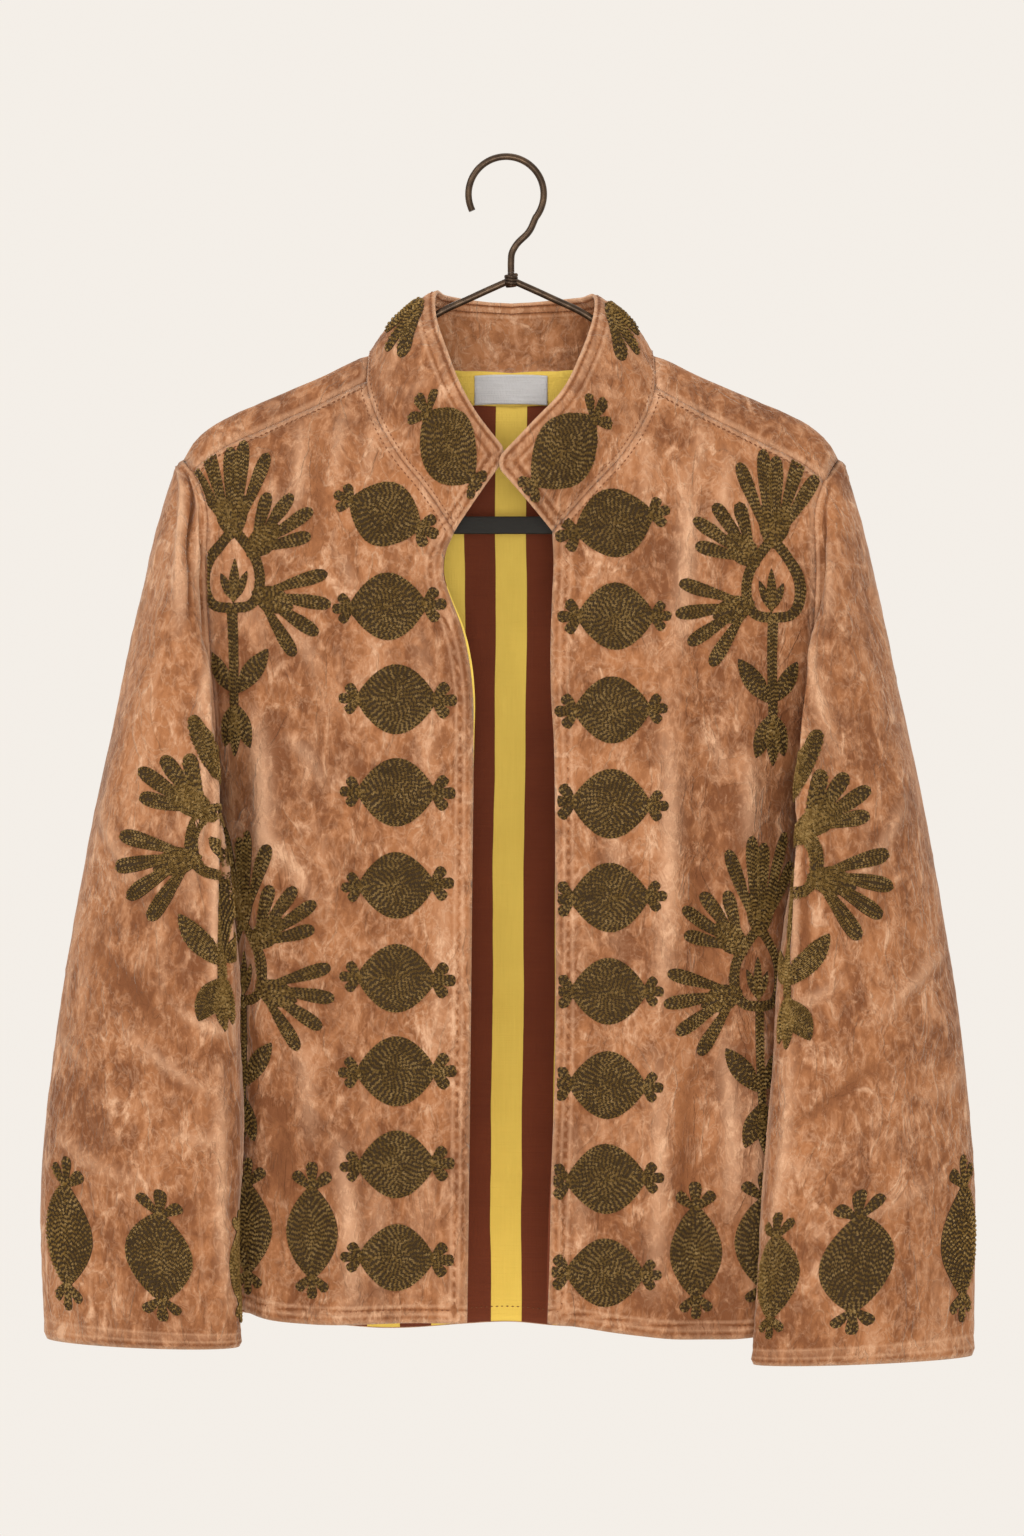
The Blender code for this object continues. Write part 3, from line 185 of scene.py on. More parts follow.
# Folds of the body: place and height at each end, how proud or, if negative, how deep, and half-width
FOLDS = {
    -1: lengths("out_top top out_low low proud width", [
        (116, -500, 104, -790, 6, 16.5), (140, -540, 134, -790, -4, 16), (160, -330, 160, -790, 3.5, 16),
        (90, -200, 76, -420, 2.8, 15), (134, -205, 128, -400, 3, 15), (70, -480, 60, -790, -3.5, 17),
    ]),
    1: lengths("out_top top out_low low proud width", [
        (108, -230, 98, -790, 5, 16), (130, -300, 124, -790, -3.8, 16), (154, -520, 150, -790, 4.5, 16.5),
        (78, -190, 76, -420, 2.8, 15), (138, -225, 146, -400, 2.8, 15), (58, -480, 56, -790, -3.5, 17),
    ]),
}
BACK_FOLDS = lengths("out_top top out_low low proud width", [
    (-130, -280, -140, -790, 6.2, 21), (-78, -340, -84, -790, -5, 21), (-30, -400, -30, -790, 5.5, 21),
    (28, -320, 30, -790, -5, 21), (80, -360, 88, -790, 6.2, 21), (132, -280, 142, -790, -5, 21),
])

# Sleeves: the outer and the inner line of the flattened tube and its half depth, from armhole to cuff.
# lean carries the front of the tube over the armhole seam.
SLEEVES = {
    -1: columns("share outer_x outer_y outer_z inner_x inner_y inner_z half_depth lean", [
        (0.00, 0.2145, 0.000, -0.1950, 0.2010, 0.000, -0.4020, 0.034, 0.000),
        (0.06, 0.2220, -0.002, -0.2120, 0.2080, -0.006, -0.4120, 0.046, 0.010),
        (0.12, 0.2305, -0.004, -0.2400, 0.2050, -0.018, -0.4250, 0.052, 0.022),
        (0.20, 0.2395, -0.006, -0.2820, 0.1935, -0.036, -0.4450, 0.054, 0.022),
        (0.30, 0.2505, -0.008, -0.3370, 0.1818, -0.051, -0.4750, 0.051, 0.014),
        (0.42, 0.2650, -0.010, -0.4080, 0.1755, -0.061, -0.5180, 0.047, 0.006),
        (0.55, 0.2800, -0.012, -0.4900, 0.1745, -0.066, -0.5700, 0.042, 0.002),
        (0.70, 0.2930, -0.016, -0.5750, 0.1735, -0.070, -0.6300, 0.038, 0.000),
        (0.85, 0.3020, -0.020, -0.6650, 0.1755, -0.071, -0.6960, 0.035, 0.000),
        (1.00, 0.2990, -0.024, -0.7630, 0.1730, -0.073, -0.7640, 0.033, 0.000),
    ]),
    1: columns("share outer_x outer_y outer_z inner_x inner_y inner_z half_depth lean", [
        (0.00, 0.2145, 0.000, -0.1950, 0.2010, 0.000, -0.4020, 0.034, 0.000),
        (0.06, 0.2210, -0.002, -0.2120, 0.2070, -0.008, -0.4120, 0.046, 0.014),
        (0.12, 0.2290, -0.004, -0.2400, 0.2050, -0.024, -0.4250, 0.048, 0.026),
        (0.20, 0.2385, -0.006, -0.2820, 0.1930, -0.046, -0.4450, 0.048, 0.030),
        (0.30, 0.2495, -0.008, -0.3370, 0.1820, -0.059, -0.4750, 0.045, 0.020),
        (0.42, 0.2640, -0.010, -0.4080, 0.1725, -0.065, -0.5180, 0.042, 0.008),
        (0.55, 0.2780, -0.012, -0.4900, 0.1690, -0.071, -0.5700, 0.038, 0.003),
        (0.70, 0.2905, -0.016, -0.5750, 0.1655, -0.075, -0.6300, 0.034, 0.000),
        (0.85, 0.2985, -0.020, -0.6700, 0.1590, -0.077, -0.7000, 0.030, 0.000),
        (1.00, 0.2980, -0.024, -0.7745, 0.1535, -0.077, -0.7745, 0.026, 0.000),
    ]),
}
SLEEVE_AROUND = 0.340
SLEEVE_LENGTH = 0.560
SLEEVE_BLEND = 0.16
SLEEVE_FOLDS = columns("round_top top round_low low proud width", [
    (0.120, 0.03, 0.150, 0.55, 0.0050, 0.0180),
    (0.215, 0.03, 0.245, 0.45, -0.0045, 0.0180),
    (0.310, 0.04, 0.325, 0.50, 0.0040, 0.0180),
    (0.700, 0.05, 0.680, 0.70, -0.0045, 0.0190),
    (0.800, 0.05, 0.790, 0.60, 0.0050, 0.0190),
])

# Collar: its top edge from the front corner (0) to the centre back (1)
COLLAR_TOPS = {
    -1: columns("share out y height", [
        (0.00, 0.0015, -0.0500, -0.1945), (0.13, 0.0215, -0.0475, -0.1690), (0.24, 0.0325, -0.0415, -0.1495),
        (0.36, 0.0412, -0.0320, -0.1270), (0.47, 0.0490, -0.0140, -0.1020), (0.56, 0.0495, 0.0070, -0.0842),
        (0.66, 0.0440, 0.0260, -0.0850), (0.78, 0.0300, 0.0400, -0.0868), (0.90, 0.0130, 0.0470, -0.0886),
        (1.00, 0.0000, 0.0485, -0.0894),
    ]),
    1: columns("share out y height", [
        (0.00, -0.0110, -0.0630, -0.2010), (0.13, 0.0150, -0.0570, -0.1735), (0.24, 0.0330, -0.0470, -0.1535),
        (0.36, 0.0450, -0.0350, -0.1290), (0.47, 0.0535, -0.0150, -0.1035), (0.56, 0.0550, 0.0070, -0.0866),
        (0.66, 0.0470, 0.0260, -0.0865), (0.78, 0.0310, 0.0400, -0.0872), (0.90, 0.0130, 0.0470, -0.0886),
        (1.00, 0.0000, 0.0485, -0.0894),
    ]),
}
COLLAR_HALF = 0.262
COLLAR_HEIGHT = 0.057
COLLAR_BULGE = 0.0055
COLLAR_CORNER = 0.009

# Lining, facing and label
FACING_HALF = 0.070
FACING_HEIGHT = 0.0205
LABEL_HALF = 0.0240
LABEL_HEIGHT = 0.0195

# Embroidery: the rows of pomegranates beside the front edges and on the hems, and the leaf sprays
ROW_TOP = {-1: -0.2326, 1: -0.2384}
ROW_STEP = {-1: 0.0596, 1: 0.0601}
ROW_OUT = {-1: 0.0700, 1: 0.0690}
ROW_LEAN = {-1: 0.0000, 1: -0.0008}
ROW_TURN = {-1: 22.0, 1: 14.0}
ROW_MOVED = {-1: (0.0110, 0.0090, 0.0035), 1: (-0.0028, -0.0010, -0.0025)}
HEM_FRUIT = {-1: ((0.1274, -0.6934), (0.1700, -0.6914)), 1: ((0.1184, -0.7062), (0.1600, -0.6998))}
SPRAYS = {-1: ((0.1786, -0.3555), (0.1760, -0.6080)), 1: ((0.1683, -0.3619), (0.1606, -0.6115))}
BACK_HEM_FRUIT = (-0.196, -0.140, -0.084, -0.028, 0.028, 0.084, 0.140, 0.196)
CUFF_FRUIT = {-1: (0.155, 0.322, 0.520, 0.700, 0.900), 1: (0.105, 0.295, 0.440, 0.620, 0.810)}
SLEEVE_SPRAYS = {-1: (0.1775, -0.5350), 1: (0.1695, -0.5460)}


# Sizes of the fruit: length, width, reach of the crown and of the tail
ROW_SIZE = (0.0500, 0.0440, 0.0140, 0.0122)
HEM_SIZE = (0.0595, 0.0340, 0.0165, 0.0138)
CUFF_SIZE = (0.0600, 0.0385, 0.0168, 0.0143)
WING_SIZE = (0.0590, 0.0430, 0.0165, 0.0120)
CUFF_RISE = 0.0620
BACK_HEM_Z = -0.6950
WING_AT = (0.2235, 0.0285)
NAPE_AT = (0.1230, 0.0490)

# Hanger
WIRE_RADIUS = 0.00225
HOOK_RADIUS = 0.0245
WRAP_TOP = -0.0735
WRAP_LOW = -0.0830
WRAP_RADIUS = 0.0046
BAR_CENTRE_Z = -0.2378
BAR_HEIGHT = 0.0115
BAR_THICK = 0.0030
BAR_HALF = 0.1820
ARM_OUT = 0.1900
ARM_TURN = 0.0095
COIL_RADIUS = 0.00135
COIL_TURNS = 3.4

# Studio: one pixel of the photo in metres, the camera, the floor, and each light's place, size and share
# of the main light's strength
PIXEL = 0.00064
SENSOR = 36.0
PICTURE_HEIGHT = 1536 * PIXEL
PICTURE_X = (512 - 511) * PIXEL
PICTURE_Z = (149.5 - 768) * PIXEL
FRONT_PLANE = -0.052
FLOOR_RADIUS = 2.1
FLOOR_Z = -1.30
LIT_POINT = (0, 0, -0.42)
LIGHTS = {
    "key": ((-1.25, -1.90, 1.00), 0.7, 1.00), "front": ((0.10, -2.60, -0.46), 0.8, 1.60),
    "top": ((0.10, 0.40, 1.60), 1.2, 0.35), "back": ((-0.50, 2.40, 0.50), 1.5, 0.85),
}
MATERIALS = {}


def follow(table, key, wanted, at):
    """A smooth curve through one column of a table, read at places along another column."""
    xs, ys = table[key], table[wanted]
    at = np.clip(np.asarray(at, float), xs[0], xs[-1])
    slope = np.gradient(ys, xs)
    i = np.clip(np.searchsorted(xs, at) - 1, 0, len(xs) - 2)
    step = xs[i + 1] - xs[i]
    t = (at - xs[i]) / step
    return (
        ys[i] * (1 + 2 * t) * (1 - t) ** 2
        + ys[i + 1] * (3 - 2 * t) * t**2
        + step * (slope[i] * t * (1 - t) ** 2 - slope[i + 1] * t**2 * (1 - t))
    )


def ease(t):
    """0 to 1 with level ends."""
    t = np.clip(t, 0.0, 1.0)
    return t * t * (3 - 2 * t)


def unit(vectors):
    return vectors / np.maximum(np.linalg.norm(vectors, axis=-1, keepdims=True), 1e-15)


# The body


def ridge_height(x):
    return follow(SHOULDER_RIDGE, "out", "height", np.abs(x))


def side_turn(z):
    """Half-width without the side roll, the roll's radius, and cloth per radian round the roll."""
    half = follow(BODY_SECTIONS, "height", "half", z)
    roll = follow(BODY_SECTIONS, "height", "roll", z)
    return half - roll, roll, (roll + SIDE_DEPTH) / 2


def side_seam(z):
    """Cloth from the centre to the side seam, at a height."""
    flat, _, per_radian = side_turn(z)
    return flat + per_radian * math.pi / 2


def roll_angle(w, z):
    flat, _, per_radian = side_turn(z)
    return np.maximum((np.abs(w) - flat) / per_radian, 0.0)


def across_body(w, z):
    """x, and the share of the body's depth, at w metres of cloth from the centre."""
    flat, roll, _ = side_turn(z)
    angle = roll_angle(w, z)
    x = np.where(angle > 0, flat + roll * np.sin(angle), np.abs(w))
    return np.sign(w) * x, np.cos(angle) * (1 - CROWN * (x / (flat + roll)) ** 2)


def down_from_ridge(w, z):
    """Length of cloth from the shoulder ridge down to a height."""
    x, _ = across_body(w, z)
    drop = np.maximum(ridge_height(x) - z, 0.0) + RIDGE_RADIUS
    return np.sqrt(drop**2 - RIDGE_RADIUS**2)


def body_point(w, down, z, relief):
    """A point of the body; down is negative at the front. relief moves it out."""
    x, share = across_body(w, z)
    y = BODY_DEPTH * share * down / (np.abs(down) + DRAPE)
    angle = roll_angle(w, z)
    x = x + np.sign(w) * np.sin(angle) * relief
    y = y + np.sign(down) * np.cos(angle) * relief
    return np.stack([x, y, z], axis=-1)


def fold_relief(table, across, height):
    """How far the folds of a table move the body's cloth out."""
    relief = np.zeros_like(across)
    for i in range(len(table["proud"])):
        t = (height - table["top"][i]) / (table["low"][i] - table["top"][i])
        place = table["out_top"][i] * (1 - t) + table["out_low"][i] * t
        fade = ease(t / 0.30) * ease((1.15 - t) / 0.15)
        relief += table["proud"][i] * fade * np.exp(-(((across - place) / table["width"][i]) ** 2))
    return relief


def seam_fade(w, z):
    """Keeps folds off the side seam."""
    return ease((side_seam(z) - np.abs(w)) / 0.040)


def front_surface(side):
    def surface(p):
        w, z = p[:, 0], p[:, 1]
        relief = fold_relief(FOLDS[side], np.abs(w), z) * seam_fade(w, z)
        return body_point(w, -np.maximum(down_from_ridge(w, z), 1e-6), z, relief)

    return surface


def back_surface(p):
    """The back's domain is cloth across and cloth down from the ridge, negative over the front."""
    w, down = p[:, 0], p[:, 1]
    drop = np.sqrt(down**2 + RIDGE_RADIUS**2) - RIDGE_RADIUS
    z = ridge_height(w) - drop
    for _ in range(5):
        x, _ = across_body(w, z)
        z = ridge_height(x) - drop
    relief = fold_relief(BACK_FOLDS, w, z) * seam_fade(w, z) * (down > 0)
    return body_point(w, down, z, relief)


def surface_normals(surface, points, out):
    along = surface(points + (PROBE, 0)) - surface(points - (PROBE, 0))
    down = surface(points + (0, PROBE)) - surface(points - (0, PROBE))
    return unit(np.cross(along, down) * out)


# Lines in a panel's domain


def run_of(line):
    """The length of a line up to each of its points."""
    return np.concatenate([[0], np.cumsum(np.linalg.norm(np.diff(line, axis=0), axis=1))])


def read_off(at, run, line):
    """Places on a line, at lengths or shares along it."""
    return np.stack([np.interp(at, run, line[:, k]) for k in range(line.shape[1])], axis=-1)


def respace(line, step):
    """An open line resampled at about the given step."""
    run = run_of(line)
    count = max(int(round(run[-1] / step)), 1)
    return read_off(np.linspace(0, run[-1], count + 1), run, line)


def dense(line, step):
    """A line given by its corners, with points about a step apart."""
    return respace(np.asarray(line, float), step)


def leftward(ways):
    """Directions a quarter turn to the left."""
    return np.stack([-ways[:, 1], ways[:, 0]], axis=-1)


def chained(lines):
    """A closed loop from lines that meet end to end."""
    return np.concatenate([np.asarray(line, float)[:-1] for line in lines])


def signed_area(loop):
    x, y = loop[:, 0], loop[:, 1]
    return 0.5 * float(np.sum(x * np.roll(y, -1) - np.roll(x, -1) * y))


def anticlockwise(loop):
    return loop[::-1] if signed_area(loop) < 0 else loop


def inside_distance(points, loop):
    """Distance of points to a closed loop, positive inside it, and the nearest points on the loop."""
    a = loop[None, :, :]
    edge = (np.roll(loop, -1, axis=0) - loop)[None, :, :]
    away = points[:, None, :] - a
    t = np.clip((away * edge).sum(-1) / np.maximum((edge * edge).sum(-1), 1e-18), 0, 1)
    near = a + t[..., None] * edge
    distance = np.linalg.norm(points[:, None, :] - near, axis=-1)
    best = distance.argmin(axis=1)
    rows = np.arange(len(points))
    b = np.roll(loop, -1, axis=0)[None, :, :]
    straddles = (a[..., 1] > points[:, None, 1]) != (b[..., 1] > points[:, None, 1])
    rise = np.where(straddles, b[..., 1] - a[..., 1], 1.0)
    cut = a[..., 0] + (points[:, None, 1] - a[..., 1]) / rise * (b[..., 0] - a[..., 0])
    inside = (straddles & (points[:, None, 0] < cut)).sum(axis=1) % 2 == 1
    return np.where(inside, 1, -1) * distance[rows, best], near[rows, best]


def inward(loop, by):
    """The loop moved inwards."""
    along = unit(np.roll(loop, -1, axis=0) - loop)
    along = unit(along + np.roll(along, 1, axis=0))
    return loop + leftward(along) * (by if signed_area(loop) > 0 else -by)


def kept_inside(loop, edge, margin):
    """A motif's loop with whatever crosses the panel's edge drawn back inside it."""
    distance, _ = inside_distance(loop, edge)
    if (distance > margin).all():
        return loop
    if (distance < margin).mean() > 0.6:
        return loop[:0]
    _, held = inside_distance(loop, inward(edge, margin))
    moved = np.where((distance > margin)[:, None], loop, held)
    keep = np.linalg.norm(moved - np.roll(moved, 1, axis=0), axis=1) > 0.0006
    return moved[keep]


# Creases, listed one by one. Each row is one soft trough or ridge in the flat cloth: its two ends, how far
# its middle bows aside, how high it stands or, if negative, how deep it lies, and its half-width.

CREASE_NAMES = "across down across_end down_end bow rise width"
FRONT_CREASES = {
    -1: lengths(CREASE_NAMES, [
        (136, -168, 141, -236, 3, 2.2, 4.5), (106, -160, 114, -214, -2, 1.8, 4),
        (124, -178, 127, -262, 2, -1.6, 5), (89, -168, 93, -214, 1, 1.4, 4),
        (158, -206, 149, -262, 3, 1.6, 4.5), (150, -300, 122, -340, 4, 1.4, 5),
        (166, -352, 160, -470, 4, 2.8, 6), (148, -372, 118, -412, 4, 1.6, 4.5),
        (168, -432, 128, -486, 6, 2, 5.5), (146, -470, 120, -512, 3, -1.4, 5),
        (172, -512, 150, -548, 3, 1.6, 5), (138, -560, 128, -640, 2, 1.8, 5.5),
        (112, -626, 102, -752, 4, 2.6, 6), (150, -600, 146, -700, 3, -1.8, 6),
        (88, -650, 84, -746, 2, 1.2, 5), (60, -300, 56, -420, 3, 1, 6), (44, -480, 50, -600, 2, 1, 6),
        (118, -250, 98, -292, 3, 1.2, 4),
    ]),
    1: lengths(CREASE_NAMES, [
        (112, -196, 104, -330, 5, 2.4, 6), (99, -350, 94, -560, 5, 2.4, 6.5),
        (92, -570, 90, -742, 4, 2, 6), (140, -186, 124, -262, 4, 1.8, 4.5),
        (122, -170, 118, -210, 2, 1.4, 4), (153, -214, 140, -250, 3, 1.5, 4),
        (86, -178, 84, -236, 2, 1.3, 4), (120, -372, 140, -404, 3, 1.4, 4.5),
        (112, -452, 128, -540, 4, -1.8, 6), (150, -380, 152, -450, 3, 2, 5.5),
        (134, -560, 139, -690, 5, 2.4, 6), (112, -590, 110, -700, 3, -1.6, 6),
        (156, -600, 158, -740, 2, 2, 5.5), (62, -410, 66, -520, 2, 1.2, 6), (40, -620, 44, -720, 2, 1, 5),
        (80, -300, 92, -330, 2, 1, 4),
    ]),
}
BACK_CREASES = lengths(CREASE_NAMES, [
    (-150, 40, -134, 130, 4, 2, 6), (146, 44, 138, 150, -4, 2.2, 6), (-92, 36, -98, 104, 2, 1.4, 5),
    (104, 30, 100, 92, 2, 1.5, 5), (-40, 70, -28, 210, 4, 1.4, 7), (52, 86, 36, 190, 4, -1.4, 7),
    (-168, 180, -140, 236, 6, 2.2, 6), (172, 172, 142, 246, 6, 2.4, 6),
    (-150, 256, -118, 300, 4, -1.6, 5), (156, 262, 120, 322, 4, 1.6, 5.5),
    (-108, 270, -116, 430, 6, 2.4, 7), (110, 300, 118, 480, 5, 2.2, 6.5),
    (-56, 300, -62, 500, 4, -1.8, 7.5), (6, 260, 0, 430, 4, 1.8, 7), (58, 350, 60, 540, 4, 1.8, 7),
    (-160, 390, -164, 560, 4, 2.2, 6.5), (164, 380, 168, 570, 4, 2.2, 6.5),
    (-20, 470, -26, 610, 3, 1.6, 7), (-100, 480, -104, 620, 3, 2, 6), (100, 520, 102, 620, 3, -1.6, 6),
])
SLEEVE_CREASES = {
    -1: lengths(CREASE_NAMES, [
        (6, 6, 62, 88, -12, -6.2, 3), (110, 34, 152, 270, -4, -4.4, 4.4), (18, 4, 76, 80, -12, 3.4, 4),
        (-4, 18, 50, 100, -12, 3.4, 4.2), (100, 46, 141, 310, -4, 3.6, 5),
        (128, 60, 160, 250, -2, 4, 4.4), (90, 50, 112, 250, -3, 2.4, 5.5), (92, 18, 88, 150, 4, 2.4, 5.5),
        (60, 24, 54, 120, 3, 1.8, 5.5), (30, 240, 86, 262, 5, 1.8, 5), (110, 318, 158, 300, 4, 2.2, 5),
        (48, 318, 112, 338, -5, -2, 5.5), (80, 352, 140, 366, 4, 1.6, 5), (24, 372, 64, 392, 4, 1.4, 5),
        (110, 412, 150, 396, 3, 1.6, 5), (148, 330, 158, 540, 4, 2.2, 6), (40, 440, 100, 452, 4, 1.2, 5),
        (200, 40, 206, 220, 5, 2.6, 7), (246, 30, 236, 260, 6, 2.2, 7), (290, 50, 284, 200, 4, -1.8, 6.5),
        (210, 330, 270, 350, 5, 1.8, 5.5), (226, 392, 300, 376, 5, 1.6, 5.5),
        (196, 300, 200, 520, 4, 2, 6), (20, 70, 14, 200, 3, 1.2, 6), (320, 260, 268, 286, 4, 1.4, 5.5),
    ]),
    1: lengths(CREASE_NAMES, [
        (18, 12, 128, 60, -4, -3, 4.5), (122, 52, 158, 240, -4, -3.6, 5), (112, 62, 146, 280, -4, 3.2, 6),
        (128, 90, 134, 300, 2, -2.2, 5), (82, 20, 78, 176, 4, 2.2, 5.5), (52, 28, 60, 104, 3, 1.6, 5.5),
        (44, 232, 96, 250, 5, 1.6, 5), (104, 300, 152, 282, 4, 1.8, 5), (30, 330, 92, 346, -4, 1.8, 5),
        (86, 370, 146, 388, 4, -1.6, 5.5), (20, 400, 70, 410, 4, 1.2, 5), (120, 430, 156, 410, 3, 1.5, 5),
        (150, 300, 160, 520, 4, 2, 6), (56, 456, 110, 470, 4, 1.1, 5), (196, 36, 202, 240, 5, 2.6, 7),
        (240, 36, 232, 230, 6, 2.2, 7), (284, 44, 292, 190, 4, -1.8, 6.5),
        (216, 310, 276, 326, 5, 1.8, 5.5), (232, 372, 296, 396, 5, 1.5, 5.5),
        (192, 330, 198, 530, 4, 2, 6), (16, 80, 20, 190, 3, 1.2, 6), (316, 280, 262, 300, 4, 1.3, 5.5),
    ]),
}
COLLAR_CREASES = lengths(CREASE_NAMES, [
    (-150, 50, -130, 10, 2, 1, 4), (146, 48, 132, 12, 2, 1, 4), (-104, 46, -96, 16, 1, -.8, 4),
    (98, 50, 90, 14, 1, .9, 4), (-180, 44, -168, 16, 1, .7, 3.5), (178, 42, 170, 18, 1, .7, 3.5),
])
LINING_CREASES = lengths(CREASE_NAMES, [
    (-30, 120, -24, 260, 3, 1, 5), (20, 150, 28, 330, 3, 1, 6), (-8, 330, -12, 520, 3, .9, 5),
    (34, 400, 26, 580, 2, -1, 6), (-36, 440, -30, 600, 2, 1, 5), (-30, 560, 30, 566, 3, .7, 4),
])


def crease_relief(table, p, around=0.0):
    """How far the listed creases move the cloth out. A tube's creases carry on past its seam."""
    if around:
        return sum(crease_relief(table, p + (k * around, 0)) for k in (-1, 0, 1))
    relief = np.zeros(len(p))
    for x0, y0, x1, y1, bow, rise, width in zip(*table.values()):
        way = np.array([x1 - x0, y1 - y0])
        length = np.linalg.norm(way)
        way /= length
        near = p - (x0, y0)
        t = near @ way / length
        off = near @ np.array([-way[1], way[0]]) - bow * 4 * t * (1 - t)
        taper = np.where((t > 0) & (t < 1), np.sin(math.pi * np.clip(t, 0, 1)) ** 0.8, 0.0)
        relief += rise * taper * np.exp(-((off / width) ** 2))
    return relief


def ruffled(p, size, seed, around=0.0):
    """Smooth noise from -1 to 1 over places in the cloth, in features of about the given size."""
    if around:
        turn, reach = p[:, 0] * (2 * math.pi / around), around / (2 * math.pi)
        p = np.stack([reach * np.cos(turn), reach * np.sin(turn), p[:, 1]], axis=-1)
    else:
        p = np.concatenate([p, np.zeros((len(p), 1))], axis=1)
    p = p / size + (seed * 7.3, seed * 3.1, seed * 1.7)
    return np.array([noise.noise(v) for v in p.tolist()])


def crushed(p, seed, around=0.0):
    """The small puckers of crushed pile: bent ridges between soft hollows."""
    settings = bpy.context.scene.jacket_velvet
    bend = 0.006 * ruffled(p, 0.020, seed, around)
    moved = p + np.stack([bend, -bend], axis=-1)
    ridges = np.clip(1 - np.abs(ruffled(moved, 0.0180, seed + 11, around)) * 2.6, 0, 1) ** 2
    patches = np.clip(0.45 + 0.9 * ruffled(p, 0.055, seed + 23, around), 0, 1)
    fine = ruffled(moved, 0.0075, seed + 31, around)
    return settings.pucker * (ridges * patches + 0.22 * fine)


def line_distance(points, line):
    """Distance of points to an open line, looked at in blocks to save memory."""
    a, edge = line[None, :-1], (line[1:] - line[:-1])[None]
    found = []
    for block in np.array_split(points, max(len(points) // 4000, 1)):
        away = block[:, None] - a
        t = np.clip((away * edge).sum(-1) / np.maximum((edge * edge).sum(-1), 1e-18), 0, 1)
        found.append(np.linalg.norm(away - t[..., None] * edge, axis=-1).min(axis=1))
    return np.concatenate(found)


class Skin:
    """A panel's outer surface with its creases and sewn edges, which the thread lies on."""

    def __init__(self, surface, out, creases, seed, turned=(), sewn=(), rows=(HEM_ROW,), around=0.0):
        self.surface, self.out, self.creases, self.seed, self.around = surface, out, creases, seed, around
        self.above = None
        self.turned, self.sewn, self.rows = turned, sewn, rows

    def relief(self, p):
        relief = CREASE_DEPTH * crease_relief(self.creases, p, self.around)
        if self.above:
            relief += np.minimum(CREASE_DEPTH * crease_relief(self.above, p), 0)
        edge = np.ones(len(p))
        for line in self.turned:
            d = line_distance(p, line)
            edge = np.minimum(edge, d)
            relief += BEAD[0] * ease(d / BEAD[1]) * ease((self.rows[0] + BEAD[1] / 2 - d) / BEAD[1])
            for row in self.rows:
                relief -= ROW_DENT[0] * np.exp(-(((d - row) / ROW_DENT[1]) ** 2))
            relief -= EDGE_DENT[0] * np.exp(-((d / EDGE_DENT[1]) ** 2))
        for line in self.sewn:
            d = line_distance(p, line)
            edge = np.minimum(edge, d)
            relief -= SEAM_DENT[0] * np.exp(-((d / SEAM_DENT[1]) ** 2))
        return relief + crushed(p, self.seed, self.around) * ease(edge / PUCKERS_FROM)

    def at(self, p, height=0.0):
        """Points in space above places in the flat cloth, and the directions out of the cloth there."""
        normal = surface_normals(self.surface, p, self.out)
        return self.surface(p) + (CENTRE_X, 0, 0) + normal * (self.relief(p) + height)[:, None], normal

    def frames(self, p, way):
        """Points, directions along and across, and out of the cloth, for a direction in the flat cloth."""
        here, normal = self.at(p)
        ahead, _ = self.at(p + unit(way) * 0.0008)
        along = unit(ahead - here)
        side = unit(np.cross(normal, along))
        return here, along, side, unit(np.cross(along, side))


# Meshes


def new_mesh(name, points, faces):
    """A mesh from arrays of points and triangles."""
    mesh = bpy.data.meshes.new(name)
    faces = np.asarray(faces, np.int32)
    mesh.vertices.add(len(points))
    mesh.vertices.foreach_set("co", np.asarray(points, np.float32).ravel())
    mesh.loops.add(faces.size)
    mesh.loops.foreach_set("vertex_index", faces.ravel())
    mesh.polygons.add(len(faces))
    mesh.polygons.foreach_set("loop_start", np.arange(0, faces.size, 3, dtype=np.int32))
    mesh.update(calc_edges=True)
    return mesh


def named(mesh, attribute, values):
    """Keeps one value a point on the mesh, for the materials."""
    made = mesh.attributes.new(attribute, "FLOAT", "POINT")
    made.data.foreach_set("value", np.asarray(values, np.float32))


def piece(name, mesh, material, nodes=(), smooth=True):
    """One shown piece: it rides with the body, takes a slot and stands for its CAD nodes."""
    made = bpy.data.objects.new(name, mesh)
    bpy.context.scene.collection.objects.link(made)
    mesh.materials.append(material)
    if smooth and hasattr(mesh, "shade_smooth"):
        mesh.shade_smooth()
    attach(made, "root")
    if nodes:
        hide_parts(*nodes)
    return made


def filled(points, n):
    """A mesh of triangles inside the loop of the first n points: points, triangles, the loop's places."""
    lines = [(i, (i + 1) % n) for i in range(n)]
    made, _, faces, sources, _, _ = delaunay_2d_cdt([Vector(p) for p in points], lines, [], 1, 1e-7)
    place = {source: i for i, found in enumerate(sources) for source in found}
    rim = [place[i] for i in range(n)]
    return np.array([tuple(v) for v in made]), np.array([tuple(f) for f in faces]), rim


def spread(edge, step):
    """A closed edge filled with an even mesh: points and triangles."""
    low, high = edge.min(axis=0), edge.max(axis=0)
    rows = np.arange(low[1], high[1], step * 0.866)
    grid = np.array([
        (x, y) for k, y in enumerate(rows) for x in np.arange(low[0] + (k % 2) * step / 2, high[0], step)
    ])
    inner = []
    for block in np.array_split(grid, max(len(grid) // 3000, 1)):
        inner.append(block[inside_distance(block, edge)[0] > step * 0.55])
    return filled(np.concatenate([edge, *inner]), len(edge))[:2]


def nearest(flat, lines, rows=(0.0,)):
    """Distance of places in the cloth to the nearest of some lines, or of the rows beside them."""
    found = [abs(line_distance(flat, line) - row) for line in lines for row in rows]
    return np.min(found, axis=0) if found else np.ones(len(flat))


